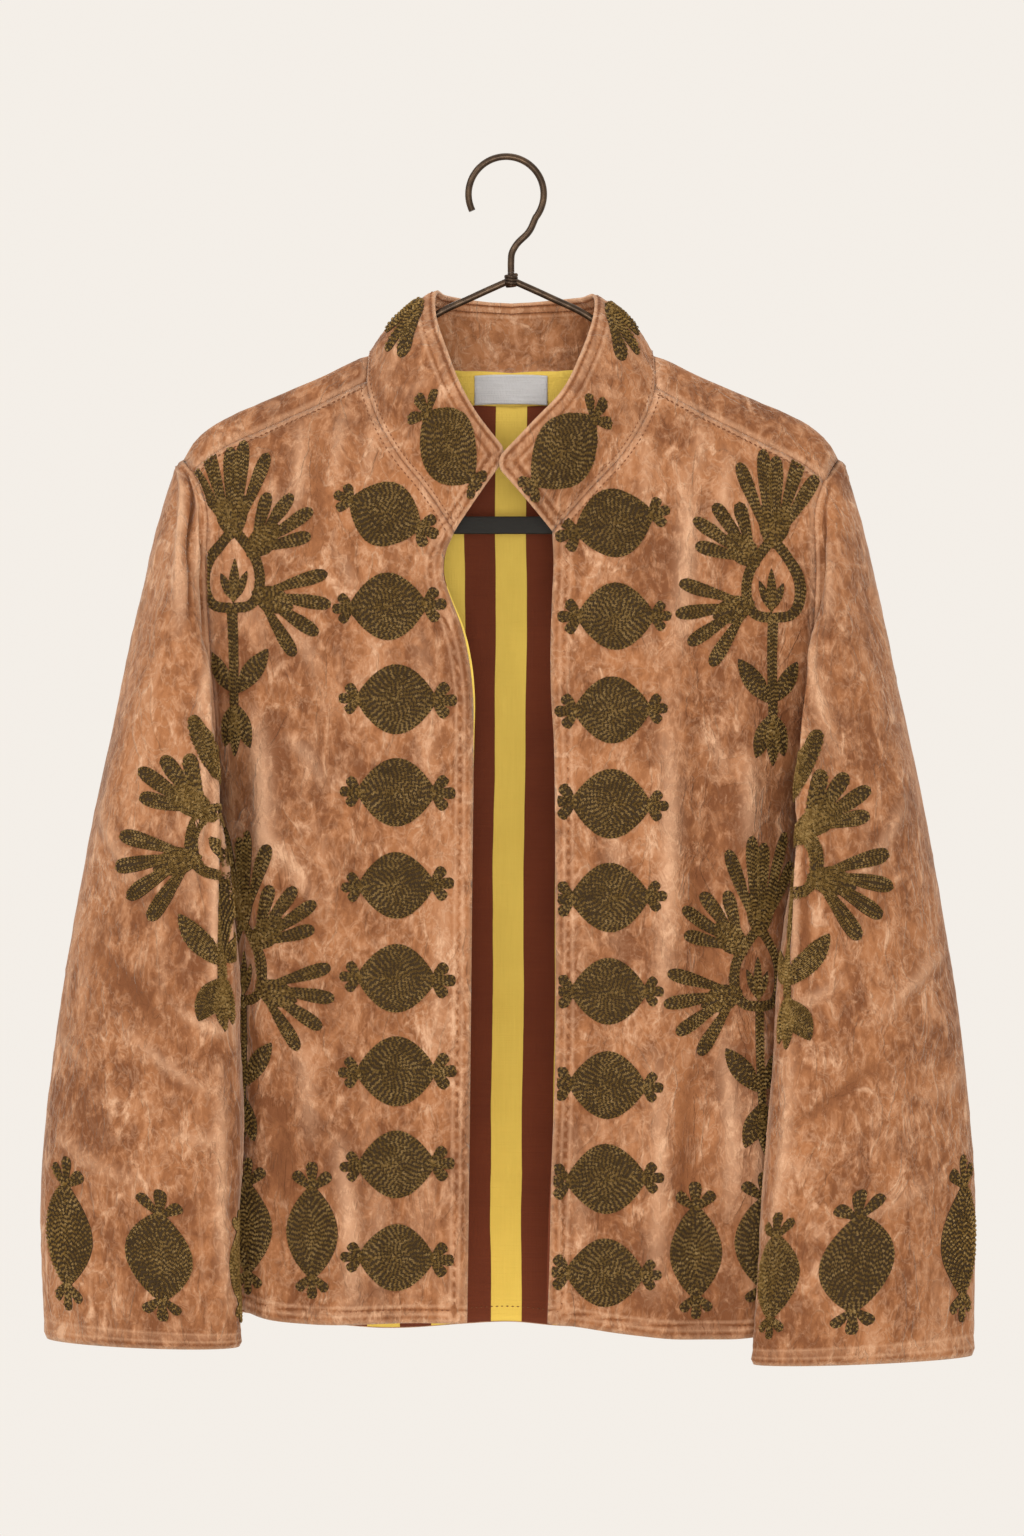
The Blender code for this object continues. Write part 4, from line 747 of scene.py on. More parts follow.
def shell(name, edge, skin, material, nodes, step, thick, back_off=0.0, tube=False, shift=0.0):
    """A thin cloth shell on a panel's surface, its thickness behind it."""
    flat, faces = spread(anticlockwise(edge), step)
    points, _ = skin.at(flat, -back_off)
    if skin.out < 0:
        faces = faces[:, ::-1]
    mesh = new_mesh(name, points, faces)
    named(mesh, "across", flat[:, 0] - shift)
    named(mesh, "down", flat[:, 1])
    # distances to edges, seams and stitch rows, and the crease relief: the velvet's colour reads them for
    # edge wear, painted highlights and painted shade
    named(mesh, "edge", nearest(flat, (*skin.turned, *skin.sewn)))
    named(mesh, "seam", nearest(flat, skin.sewn))
    named(mesh, "row", nearest(flat, skin.turned, skin.rows))
    named(mesh, "crease", crease_relief(skin.creases, flat, skin.around))
    if tube:
        work = bmesh.new()
        work.from_mesh(mesh)
        rim = [v for v in work.verts if v.is_boundary]
        bmesh.ops.remove_doubles(work, verts=rim, dist=2e-5)
        work.to_mesh(mesh)
        work.free()
    made = piece(name, mesh, material, nodes)
    walls = made.modifiers.new("Cloth thickness", "SOLIDIFY")
    walls.thickness = thick
    walls.offset = -1.0
    walls.use_rim = True
    walls.use_quality_normals = True
    return made


# Thread


# One leg of a chain stitch: along its length, then in parts of its row's width, then of its height
LEG = {
    "behind": 0.62, "ahead": 0.46, "middle": 0.04, "open": 0.40, "bow": 0.30, "fat": 0.27, "slant": 0.25,
    "tail_height": 0.55, "head_height": 0.72, "sink": 0.30,
}


def spindles(tail, ring, head):
    """Closed spindles, each from a tail over a ring of points to a head, as points and triangles."""
    n, points = len(ring), np.stack([tail, *ring, head], axis=1)
    pairs = [(k + 1, (k + 1) % n + 1) for k in range(n)]
    one = np.array([(0, i, j) for i, j in pairs] + [(n + 1, j, i) for i, j in pairs])
    faces = one[None] + (np.arange(len(points)) * (n + 2))[:, None, None]
    return points.reshape(-1, 3), faces.reshape(-1, 3)


def joined(parts):
    """Several bodies, each as points and triangles, as one."""
    points, faces, start = [], [], 0
    for made, triangles in parts:
        points.append(made)
        faces.append(triangles + start)
        start += len(made)
    return np.concatenate(points), np.concatenate(faces)


def chained_stitches(places, ways, skin, tones, length, width, lift):
    """Chain stitches, each a pair of fat legs that open forwards, at places and directions in the cloth."""
    here, along, side, out = skin.frames(places, ways)
    legs = []
    for k in (-1, 1):
        tail = here - along * length * LEG["behind"] + out * (lift * LEG["tail_height"])
        head = here + along * length * LEG["ahead"] + side * (k * width * LEG["open"])
        head = head + out * (lift * LEG["head_height"])
        middle = here - along * length * LEG["middle"] + side * (k * width * LEG["bow"]) + out * lift
        across = side + along * (LEG["slant"] * -k)
        fat = width * LEG["fat"]
        low = middle - out * (lift * LEG["sink"])
        ring = [low + across * fat, middle + out * fat * 0.95, low - across * fat]
        legs.append(spindles(tail, ring, head))
    points, faces = joined(legs)
    return points, faces, np.repeat(np.concatenate([tones, tones]), len(ring) + 2)


def contour_rows(loop, gap, length):
    """Places and directions of stitches in rows that follow an outline inwards."""
    places, ways = [], []
    loop = anticlockwise(loop)
    line = respace(np.concatenate([loop, loop[:1]]), length * 0.5)[:-1]
    along = unit(np.roll(line, -1, axis=0) - np.roll(line, 1, axis=0))
    normal = leftward(along)
    for k in range(40):
        depth = gap * (k + 0.45)
        moved = line + normal * depth
        kept = inside_distance(moved, loop)[0] > depth * 0.94 - 1e-5
        if not kept.any():
            break
        last = None
        for i in np.flatnonzero(kept)[(k * 7) % 3:]:
            if last is None or np.linalg.norm(moved[i] - last) >= length * 0.92:
                last = moved[i]
                places.append(last)
                ways.append(along[i] if k % 2 == 0 else -along[i])
    return places, ways


def pad(loop, skin, height):
    """The felted bed of thread under the stitches of one outline, as one closed body, dark as painted shade
    in the gaps.
    """
    loop, step = anticlockwise(loop), BED_STEP
    inner = inward(loop, BED_ROOT)
    low, high = loop.min(axis=0), loop.max(axis=0)
    columns_at, rows_at = np.arange(low[0], high[0], step), np.arange(low[1], high[1], step)
    grid = np.array([(x, y) for x in columns_at for y in rows_at])
    grid = grid[inside_distance(grid, loop)[0] > BED_RIM]
    flat, faces, rim = filled(np.concatenate([loop, inner, *([grid] if len(grid) else [])]), len(loop))
    distance = inside_distance(flat, loop)[0]
    top, _ = skin.at(flat, np.where(distance > 1e-5, height, height * 0.15))
    under, _ = skin.at(flat, -BED_ROOT)
    m = len(flat)
    sides = []
    for i, j in zip(rim, rim[1:] + rim[:1]):
        sides += [(j, i, m + i), (j, m + i, m + j)]
    every_face = np.concatenate([faces, faces[:, ::-1] + m, np.array(sides)])
    if skin.out < 0:
        every_face = every_face[:, ::-1]
    return np.concatenate([top, under]), every_face


def embroider(name, loops, edge, skin, material):
    """All the thread of one panel as one joined mesh: beds, then chain stitches over them."""
    settings = bpy.context.scene.jacket_thread
    parts, tones, places, ways = [], [], [], []
    for count, loop in enumerate(loops):
        loop = kept_inside(loop, edge, THREAD_MARGIN)
        if len(loop) < 5 or abs(signed_area(loop)) < LEAST_MOTIF:
            continue
        parts.append(pad(loop, skin, settings.bed + BED_APART * (count % 6)))
        # the bed takes a low tone: painted shade in the gaps between the stitches
        tones.append(np.full(len(parts[-1][0]), BED_SHADE_TONE))
        row_places, row_ways = contour_rows(loop, settings.row_gap, settings.stitch_length)
        places += row_places
        ways += row_ways
    places, ways = np.array(places), np.array(ways)
    wobble = ruffled(places, 0.0017, 5)
    turn = wobble * 0.95
    cos, sin = np.cos(turn), np.sin(turn)
    ways = np.stack([ways[:, 0] * cos - ways[:, 1] * sin, ways[:, 0] * sin + ways[:, 1] * cos], axis=-1)
    places = places + unit(ways[:, ::-1] * (-1, 1)) * (ruffled(places, 0.0013, 9) * 0.00035)[:, None]
    tone = 0.66 + 0.26 * ruffled(places, 0.0011, 3) + 0.14 * ruffled(places, 0.0023, 8)
    tone += 0.12 * ruffled(places, 0.016, 4)
    made, triangles, shade = chained_stitches(
        places, ways, skin, tone, settings.stitch_length, settings.row_gap, settings.lift
    )
    mesh = new_mesh(name, *joined([*parts, (made, triangles)]))
    named(mesh, "tone", np.concatenate([*tones, shade]))
    return piece(name, mesh, material)


def topstitch(lines, skin, pitch=0.0034, length=0.0025, fat=0.00042, lift=0.00026, under=0.0):
    """Running stitches along lines in the flat cloth, or on its underside, as points and triangles."""
    places, ways = [], []
    for line in lines:
        line = respace(line, pitch)
        places.append((line[1:] + line[:-1]) / 2)
        ways.append(line[1:] - line[:-1])
    places, ways = np.concatenate(places), np.concatenate(ways)
    here, along, side, out = skin.frames(places, ways)
    if under:
        here, side, out = here - out * under, -side, -out
    tail = here - along * length / 2 - out * 0.0002
    head = here + along * length / 2 - out * 0.0002
    middle = here + out * lift
    ring = [middle + side * fat, middle + out * fat, middle - side * fat, middle - out * fat]
    return spindles(tail, ring, head)


def stitched(name, parts, material):
    """Running stitches of several lines and panels, joined as one piece."""
    return piece(name, new_mesh(name, *joined(parts)), material)


# Embroidered shapes, each a list of closed outlines round the origin with the axis along +Y


def heading(degrees):
    """The direction at an angle clockwise from up."""
    return np.array([math.sin(math.radians(degrees)), math.cos(math.radians(degrees))])


def cut_corners(here, ahead):
    """Two points on each side from here to ahead, a quarter in from its ends."""
    return np.stack([0.75 * here + 0.25 * ahead, 0.25 * here + 0.75 * ahead], axis=1).reshape(-1, 2)


def rounded(loop, times=2):
    """A closed outline with its corners cut, again and again."""
    for _ in range(times):
        loop = cut_corners(loop, np.roll(loop, -1, axis=0))
    return loop


PETAL = columns("along half", [
    (0.00, 0.30), (0.25, 0.52), (0.50, 0.80), (0.75, 1.00), (0.92, 0.86), (1.00, 0.38),
])
OVAL = columns("along half", [
    (0.00, 0.10), (0.18, 0.62), (0.42, 1.00), (0.68, 0.88), (0.90, 0.42), (1.00, 0.05),
])


def tongue(start, end, width, profile=PETAL):
    """A leaf, lobe or finger from one point to another, shaped by a profile."""
    start, end = np.asarray(start, float), np.asarray(end, float)
    way = end - start
    side = np.array([way[1], -way[0]]) / np.linalg.norm(way) * width / 2
    line = start + way * profile["along"][:, None]
    right = line + side * profile["half"][:, None]
    left = line - side * profile["half"][:, None]
    return rounded(np.concatenate([right, left[::-1]]))


def lobes(at, up, reach, width, turn):
    """Three lobes fanned round a point on the axis."""
    found = []
    for angle in (-turn, 0.0, turn):
        way = heading(angle) * (1, up)
        size = reach * (1.0 if angle == 0 else 0.92)
        found.append(tongue((0, at - up * 0.0015), np.array([0, at]) + way * size, width))
    return found


def fruit(length, width, crown, tail):
    """A pomegranate: an oval body with pointed ends, a crown of three lobes and a smaller leaf below."""
    t = np.linspace(-0.97, 0.97, 12)
    side = np.stack([width / 2 * np.cos(t * math.pi / 2) ** 0.80, t * length / 1.94], axis=-1)
    body = rounded(np.concatenate([side, (side * (-1, 1))[::-1]]), 1)
    above = lobes(length / 2 - 0.001, 1, crown, 0.0078, 52)
    return [body, *above, *lobes(-length / 2 + 0.001, -1, tail, 0.0068, 50)]


def turned_about(loops, at, turn=0.0, flip=1, scale=1.0):
    """Outlines turned clockwise by degrees, mirrored if flip is -1, and moved."""
    angle = math.radians(turn)
    found = []
    for loop in loops:
        x, y = loop[:, 0] * scale, loop[:, 1] * scale
        turned_loop = np.stack([
            x * math.cos(angle) + y * math.sin(angle), y * math.cos(angle) - x * math.sin(angle)
        ], axis=-1)
        found.append(turned_loop * (flip, 1) + np.array(at))
    return found


FANS = columns("x y turn fingers spread reach fat", [
    (-0.0015, 0.1110, -17.0, 3, 31.0, 0.0640, 0.0098), (0.0020, 0.1110, 12.0, 2, 17.0, 0.0665, 0.0094),
    (0.0115, 0.0985, 45.0, 4, 59.0, 0.0480, 0.0092), (0.0155, 0.0715, 111.0, 4, 75.0, 0.0510, 0.0094),
])
SPRAY_LEAVES = lengths("x y x_end y_end fat", [
    (0.8, 65.5, 0.8, 94.5, 6.2), (0.8, 67, -7, 85, 5.8), (1.2, 67, 8.8, 86.5, 5.8),
    (3, 8, 22.5, 36, 13.5), (-2.5, 9, -15.5, 34.5, 12), (0, 1, -9.5, -26.5, 12.5),
    (0.5, 1, -1, -33, 10), (1, 1, 11.5, -27.5, 12.5),
])
RINGS = (
    (
        (0.0000, 0.0625), (0.0125, 0.0635), (0.0178, 0.0760), (0.0160, 0.0920), (0.0080, 0.1040),
        (0.0010, 0.1125),
    ),
    (
        (0.0000, 0.0625), (-0.0125, 0.0635), (-0.0172, 0.0760), (-0.0155, 0.0920), (-0.0080, 0.1040),
        (-0.0010, 0.1125),
    ),
)
STEM = ((0.0000, 0.0640), (0.0012, 0.0350), (0.0000, -0.0010))
RING_WIDTH = 0.0066
STEM_WIDTH = 0.0062


def ribbon(line, width):
    """A narrow band of thread along a bent line."""
    fine = np.array(line, float)
    for _ in range(2):
        fine = np.concatenate([fine[:1], cut_corners(fine[:-1], fine[1:]), fine[-1:]])
    fine = respace(fine, 0.0035)
    side = -leftward(unit(np.gradient(fine, axis=0))) * width / 2
    return rounded(np.concatenate([fine + side, (fine - side)[::-1]]), 1)


def branch(flip, scale=1.0, stout=1.0):
    """One spray of leaves round its lower hub: fans of fingers, single leaves, a stem and two rings."""
    found = []
    for x, y, turn, fingers, wide, reach, fat in zip(*FANS.values()):
        for i in range(int(fingers)):
            share = i / (fingers - 1) - 0.5
            size = reach * (1 - 0.26 * abs(share) + 0.05 * math.sin(i * 2.1 + x * 900))
            way = heading(turn + wide * share)
            start = np.array([x, y]) + way * 0.004
            found.append(tongue(start, np.array([x, y]) + way * size, fat * stout))
        at, way = np.array([x, y]), heading(turn)
        found.append(tongue(at - 0.004 * way, at + 0.025 * way, 0.0045 * fingers, OVAL))
    for x, y, x_end, y_end, fat in zip(*SPRAY_LEAVES.values()):
        found.append(tongue((x, y), (x_end, y_end), fat, OVAL))
    found += [ribbon(line, RING_WIDTH) for line in RINGS]
    found.append(ribbon(STEM, STEM_WIDTH))
    return turned_about(found, (0, 0), 0, flip, scale)


# Materials


class Value:
    """One socket of a shader, with Python's operators for its sums."""

    def __init__(self, tree, socket):
        self.tree, self.socket = tree, socket

    def sum(self, operation, *others):
        made = self.tree.nodes.new("ShaderNodeMath")
        made.operation = operation
        for socket, value in zip(made.inputs, others):
            if isinstance(value, Value):
                self.tree.links.new(value.socket, socket)
            else:
                socket.default_value = value
        return Value(self.tree, made.outputs[0])

    def __add__(self, other):
        return self.sum("ADD", self, other)

    def __sub__(self, other):
        return self.sum("SUBTRACT", self, other)

    def __rsub__(self, other):
        return self.sum("SUBTRACT", other, self)

    def __mul__(self, other):
        return self.sum("MULTIPLY", self, other)

    def __pow__(self, other):
        return self.sum("POWER", self, other)

    def __abs__(self):
        return self.sum("ABSOLUTE", self)

    def held(self):
        """Kept from 0 to 1."""
        made = self.sum("MAXIMUM", self, 0.0)
        return self.sum("MINIMUM", made, 1.0)

    def sine(self):
        return self.sum("SINE", self)

    __radd__, __rmul__ = __add__, __mul__


class Finish:
    """A material under construction: its shader, and one way to add any other node."""

    def __init__(self, name, **constants):
        self.material = bpy.data.materials.new(name)
        self.material.use_nodes = True
        self.tree = self.material.node_tree
        self.shader = self.tree.nodes["Principled BSDF"]
        for socket, value in constants.items():
            self.shader.inputs[socket.replace("_", " ")].default_value = value

    def node(self, kind, settings=None, sockets=None, output=0):
        made = self.tree.nodes.new(kind)
        for setting, value in (settings or {}).items():
            setattr(made, setting, value)
        for socket, value in (sockets or {}).items():
            if isinstance(value, Value):
                self.tree.links.new(value.socket, made.inputs[socket])
            else:
                made.inputs[socket].default_value = value
        return Value(self.tree, made.outputs[output])

    def feed(self, **sockets):
        for socket, value in sockets.items():
            self.tree.links.new(value.socket, self.shader.inputs[socket.replace("_", " ")])
        return self.material

    def places(self, scale=(1, 1, 1)):
        raw = self.node("ShaderNodeTexCoord", output="Object")
        return self.node("ShaderNodeVectorMath", {"operation": "MULTIPLY"}, {0: raw, 1: scale})

    def attribute(self, name):
        return self.node("ShaderNodeAttribute", {"attribute_name": name}, output="Fac")

    def cloud(self, places, scale, detail=3.0, rough=0.55, distortion=0.0):
        sockets = {
            "Vector": places, "Scale": scale, "Detail": detail, "Roughness": rough, "Distortion": distortion,
        }
        return self.node("ShaderNodeTexNoise", None, sockets, "Fac")

    def mix(self, share, low, high):
        """Two colours mixed by a share."""
        low, high = [end if isinstance(end, Value) else (*end, 1) for end in (low, high)]
        return self.node("ShaderNodeMix", {"data_type": "RGBA"}, {0: share, 6: low, 7: high}, 2)

    def bump(self, height, distance, strength=1.0):
        sockets = {"Height": height, "Distance": distance, "Strength": strength}
        return self.node("ShaderNodeBump", None, sockets)


def velvet_finish():
    """Crushed silk velvet: pile pushed flat in patches and veins that catch the light; edges lighter from
    wear and a painted rim highlight, painted highlights on beads and crease ridges, and painted shade in
    crease troughs and the dents of rows and seams.
    """
    s = bpy.context.scene.jacket_velvet
    f = Finish("crushed velvet", Sheen_Weight=0.34, Sheen_Roughness=0.36, Sheen_Tint=(1.0, 0.78, 0.62, 1),
               Specular_IOR_Level=0.22)
    p = f.places()
    patches = f.cloud(p, 15.0, 3.0, 0.55, 0.4)
    smears = f.cloud(f.places((1.0, 1.0, 0.55)), 76.0, 4.0, 0.64, 0.9)
    flecks = f.cloud(f.places((1.0, 1.0, 0.62)), 230.0, 4.0, 0.66, 0.5)
    streaks = f.cloud(f.places((1.0, 1.0, 0.20)), 46.0, 4.0, 0.60, 0.6)
    bent = f.cloud(f.places((1.0, 1.0, 0.46)), 42.0, 4.0, 0.55, 0.6)
    finer = f.cloud(f.places((1.0, 1.0, 0.75)), 110.0, 3.0, 0.60, 0.6)
    veins = (1 - abs(bent - 0.5) * 24.0).held() ** 1.3
    hairs = (1 - abs(finer - 0.52) * 15.0).held() ** 1.4
    grain = f.cloud(p, 1300.0, 2.0, 0.6)
    edge, row, seam = f.attribute("edge"), f.attribute("row"), f.attribute("seam")
    # lighter towards the panel's edges: partly worn pile, partly a painted rim highlight
    edge_wear_and_highlight = (1 - edge * 330.0).held()
    # painted highlight in bands beside the stitch rows of turned edges, over the raised bead
    bead_and_seam_highlight = (1 - abs(row - 0.0026) * 600.0).held()
    # painted shade in the dents of the stitch rows and the sewn seams
    dent_shade = ((1 - row * 800.0).held() + (1 - seam * 650.0).held() * 1.3).held()
    # painted highlight beside the sewn seams
    bead_and_seam_highlight = bead_and_seam_highlight + (1 - abs(seam - 0.0030) * 520.0).held()
    # from the crease relief: a painted highlight on the ridges and painted shade in the troughs
    ridge = (f.attribute("crease") * 380.0).held()
    crease_shade = (f.attribute("crease") * -520.0).held()
    shade = (patches - 0.5) * 2.2 + (smears - 0.5) * 2.6 + (streaks - 0.5) * 1.4 + (flecks - 0.5) * 1.7
    colour = f.mix((shade + 0.56).held(), s.dark, s.mid)
    patchy = ((patches - 0.36) * 4.0).held()
    light = veins * ((smears - 0.46) * 6.0).held() * (patchy * 0.50 + 0.35) + hairs * (0.10 + patchy * 0.24)
    light = light + ((smears - 0.55) * 4.5).held() * 0.38 + ((flecks - 0.54) * 5.0).held() * 0.34
    light = light + ((streaks - 0.57) * 5.0).held() * 0.30
    # the light share also takes the edge wear and the painted highlights of edges, beads and ridges, less the
    # painted shade
    light = (light + edge_wear_and_highlight * 0.55 + bead_and_seam_highlight * 0.34 + ridge * 0.70 - crease_shade * 0.35 - dent_shade * 0.4).held()
    colour = f.mix(light, colour, s.light)
    # painted shade: crease troughs and the dents of rows and seams mixed towards the dark velvet
    colour = f.mix((crease_shade * 0.75 + dent_shade * 0.60).held(), colour, s.dark)
    colour = f.mix((grain * 0.34).held(), colour, s.dark)
    height = veins * 0.55 + hairs * 0.24 + smears * 0.70 + flecks * 0.35 + grain * 0.10
    rough = 0.80 - light * 0.16
    return f.feed(Base_Color=colour, Roughness=rough, Normal=f.bump(height, s.relief))


def thread_finish():
    """Dull twisted cotton thread, with painted shade on the beds between the stitches."""
    s = bpy.context.scene.jacket_thread
    f = Finish("olive thread", Specular_IOR_Level=0.25)
    tone = f.attribute("tone")
    p = f.places()
    drift = f.cloud(p, 60.0, 2.0)
    strand = f.cloud(p, 2600.0, 2.0, 0.6)
    # the beds' low tone takes the dark colour: painted shade in the gaps between the stitches
    colour = f.mix(((tone - 0.32) * 2.6 + (drift - 0.5) * 0.5).held(), s.dark, s.mid)
    colour = f.mix(((tone - 0.62) * 2.4 + (strand - 0.5) * 0.6).held(), colour, s.light)
    return f.feed(Base_Color=colour, Roughness=0.86 - strand * 0.12, Normal=f.bump(strand, 0.0002))


def stripe_finish():
    """Plain cotton in broad stripes that run down the cloth, slightly wavy."""
    s = bpy.context.scene.jacket_lining
    f = Finish("striped cotton", Sheen_Weight=0.08, Specular_IOR_Level=0.25)
    p = f.places()
    across = f.attribute("across") + (f.cloud(p, 9.0, 2.0) - 0.5) * 0.004 + f.attribute("down") * 0.006
    wave = ((across - s.centre) * (math.pi / s.stripe) + math.pi / 2).sine()
    stripe = (wave * 26.0 + 0.5).held()
    warp = f.cloud(f.places((1.0, 1.0, 0.03)), 900.0, 2.0, 0.6)
    weft = f.cloud(f.places((0.03, 0.03, 1.0)), 900.0, 2.0, 0.6)
    soil = f.cloud(p, 26.0, 4.0)
    yellow = f.mix((soil * 0.6 + warp * 0.35).held(), s.yellow_dark, s.yellow)
    maroon = f.mix((soil * 0.6 + weft * 0.35).held(), s.maroon_dark, s.maroon)
    colour = f.mix(stripe, maroon, yellow)
    height = warp * 0.5 + weft * 0.5 + soil * 0.8
    return f.feed(Base_Color=colour, Roughness=0.84 - warp * 0.06, Normal=f.bump(height, 0.0006))


def plain_cotton_finish(name, colour, dark):
    """Plain woven cloth, dark in its hollows."""
    f = Finish(name, Sheen_Weight=0.08, Specular_IOR_Level=0.25)
    p = f.places()
    warp = f.cloud(f.places((1.0, 1.0, 0.04)), 1000.0, 2.0, 0.6)
    weft = f.cloud(f.places((0.04, 0.04, 1.0)), 1000.0, 2.0, 0.6)
    soil = f.cloud(p, 40.0, 3.0)
    mixed = f.mix((soil * 0.5 + warp * 0.3 + weft * 0.2).held(), dark, colour)
    return f.feed(Base_Color=mixed, Roughness=0.82 - weft * 0.08, Normal=f.bump(warp + weft + soil, 0.0005))


def stitch_finish():
    """Brown sewing thread."""
    f = Finish("topstitch thread", Specular_IOR_Level=0.3)
    twist = f.cloud(f.places(), 1900.0, 2.0)
    colour = f.mix(twist, (0.10, 0.028, 0.010), (0.30, 0.115, 0.045))
    return f.feed(Base_Color=colour, Roughness=0.80 - twist * 0.1, Normal=f.bump(twist, 0.0002))


def wire_finish():
    """Dark bronzed steel, rubbed brighter in streaks."""
    f = Finish("bronzed wire", Specular_IOR_Level=0.5)
    p = f.places()
    rubbed = f.cloud(p, 130.0, 4.0, 0.6)
    pits = f.cloud(p, 1400.0, 2.0)
    share = ((rubbed - 0.40) * 1.1).held()
    colour = f.mix(share, (0.045, 0.028, 0.017), (0.20, 0.125, 0.072))
    return f.feed(Base_Color=colour, Roughness=0.32 + pits * 0.10, Metallic=0.80 + share * 0.15,
                  Normal=f.bump(pits, 0.00003))


def bar_finish():
    """Black painted bar with a faint lengthwise grain."""
    f = Finish("black bar", Specular_IOR_Level=0.25)
    p = f.places((1.0, 1.0, 6.0))
    grain = f.cloud(p, 320.0, 4.0, 0.6)
    colour = f.mix(grain, (0.006, 0.0052, 0.0036), (0.021, 0.0175, 0.0120))
    return f.feed(Base_Color=colour, Roughness=0.42 + grain * 0.25, Normal=f.bump(grain, 0.0003))


# Seam lines, each as cloth across and height, or in the back's domain as cloth across and down


def neck_front(side):
    """The neckline in a front's domain, from the front edge up to the shoulder seam."""
    z = np.linspace(NECK_FRONT_Z, float(ridge_height(NECK_SIDE)) - SEAM_AT_NECK[side], 49)
    out = follow(NECKLINE, "height", "out", z)
    corner = follow(FRONT_EDGES[side], "height", "out", NECK_FRONT_Z)
    return np.stack([out + (corner - out[0]) * np.linspace(1, 0, 49) ** 3, z], axis=-1)


def neck_back(side):
    """The neckline in the back's domain, from the shoulder seam over the ridge to the centre back."""
    top = float(ridge_height(NECK_SIDE))
    z = np.linspace(top - SEAM_AT_NECK[side], top, 9)[:-1]
    out = follow(NECKLINE, "height", "out", z)
    over = np.stack([out, -down_from_ridge(out, z)], axis=-1)
    down = BACK_NECKLINE["down"][-1] * np.sin(np.linspace(0, math.pi / 2, 40)) ** 1.3
    return np.concatenate([over, np.stack([follow(BACK_NECKLINE, "down", "out", down), down], axis=-1)])


def armhole(side):
    """The armhole as cloth across and height, from the ridge, past the shoulder seam, to the side seam."""
    low = UNDERARM_Z + UNDERARM_RISE
    z = np.concatenate([[ARMHOLE["height"][-1]], np.linspace(SEAM_AT_ARM_Z[side], low, 50)])
    upper = np.stack([follow(ARMHOLE, "height", "out", z), z], axis=-1)
    angle = np.linspace(0, math.pi / 2, 20)[1:]
    start, end = upper[-1], np.array([side_seam(UNDERARM_Z), UNDERARM_Z])
    turn = np.stack([
        start[0] + (end[0] - start[0]) * (1 - np.cos(angle)), low - UNDERARM_RISE * np.sin(angle)
    ], axis=-1)
    return np.concatenate([upper, turn])


def shoulder_seam(side):
    """The forward shoulder seam as cloth across and height, from the neck to the armhole."""
    start, end = neck_front(side)[-1], armhole(side)[1]
    out = np.linspace(start[0], end[0], 40)
    drop = np.linspace(ridge_height(start[0]) - start[1], ridge_height(end[0]) - end[1], 40)
    seam = np.stack([out, ridge_height(out) - drop], axis=-1)
    seam[0], seam[-1] = start, end
    return seam


def side_line():
    z = np.linspace(UNDERARM_Z, HEM_SIDE_Z, 110)
    return np.stack([side_seam(z), z], axis=-1)


def as_back(line, over_front=False):
    """A line of cloth across and height as a line in the back's domain."""
    down = down_from_ridge(line[:, 0], line[:, 1])
    return np.stack([line[:, 0], -down if over_front else down], axis=-1)


def front_lines(side):
    """A front's edge, neckline, shoulder seam, armhole, side seam and hem, end to end."""
    hem_z = float(follow(FRONT_HEMS[side], "across", "height", 0.025))
    z = np.linspace(hem_z, NECK_FRONT_Z, 130)
    edge = np.stack([follow(FRONT_EDGES[side], "height", "out", z), z], axis=-1)
    seam = side_line()
    across = np.linspace(seam[-1, 0], edge[0, 0], 55)
    hem = np.stack([across, follow(FRONT_HEMS[side], "across", "height", across)], axis=-1)
    hem[0], hem[-1] = seam[-1], edge[0]
    lines = [edge, neck_front(side), shoulder_seam(side), armhole(side)[1:], seam, hem]
    return [line * (side, 1) for line in lines]


def back_lines():
    """The back's hem, and each side's side seam, armhole, end at the shoulder, shoulder seam and neckline."""
    halves = []
    for side in (-1, 1):
        hole = armhole(side)
        over = np.array([(hole[0, 0], 0.0), as_back(hole[1:2], True)[0]])
        up = as_back(hole)[::-1]
        up[-1] = over[0]
        seam = as_back(shoulder_seam(side)[::-1], True)
        lines = [as_back(side_line()[::-1]), up, dense(over, 0.004), seam, neck_back(side)]
        halves.append([line * (side, 1) for line in lines])
    left, right = halves
    across = np.linspace(left[0][0, 0], right[0][0, 0], 121)
    hem = as_back(np.stack([across, follow(BACK_HEM, "across", "height", across)], axis=-1))
    hem[0], hem[-1] = left[0][0], right[0][0]
    return hem, right, left


def back_outline(inset_by):
    hem, right, left = back_lines()
    return inward(chained([hem, *right, *[line[::-1] for line in left[::-1]]]), inset_by)


# Sleeve and collar surfaces


def sleeve_start(side):
    """The armhole seam in space: shares round the tube, points, inward normals and ways into the sleeve."""
    hole = armhole(side)
    front_line, back_line = hole * (side, 1), as_back(hole) * (side, 1)
    front, back = front_surface(side)(front_line), back_surface(back_line)
    front_out = surface_normals(front_surface(side), front_line, 1)
    back_out = surface_normals(back_surface, back_line, 1)
    front[0] = back[0] = (front[0] + back[0]) / 2
    front_out[0] = back_out[0] = unit(front_out[0] + back_out[0])
    front[-1] = back[-1] = (front[-1] + back[-1]) / 2
    front_out[-1] = back_out[-1] = unit(front_out[-1] + back_out[-1])
    shares = []
    for line in (front, back):
        run = run_of(line)
        shares.append(0.5 * run / run[-1])
    share = np.concatenate([shares[0], 1 - shares[1][::-1][1:]])
    points = np.concatenate([front, back[::-1][1:]])
    outwards = np.concatenate([front_out, back_out[::-1][1:]])
    ring = np.concatenate([points[-2:-1], points, points[1:2]])
    along = unit(ring[2:] - ring[:-2])
    return share, points, -outwards, unit(np.cross(outwards, along)) * side


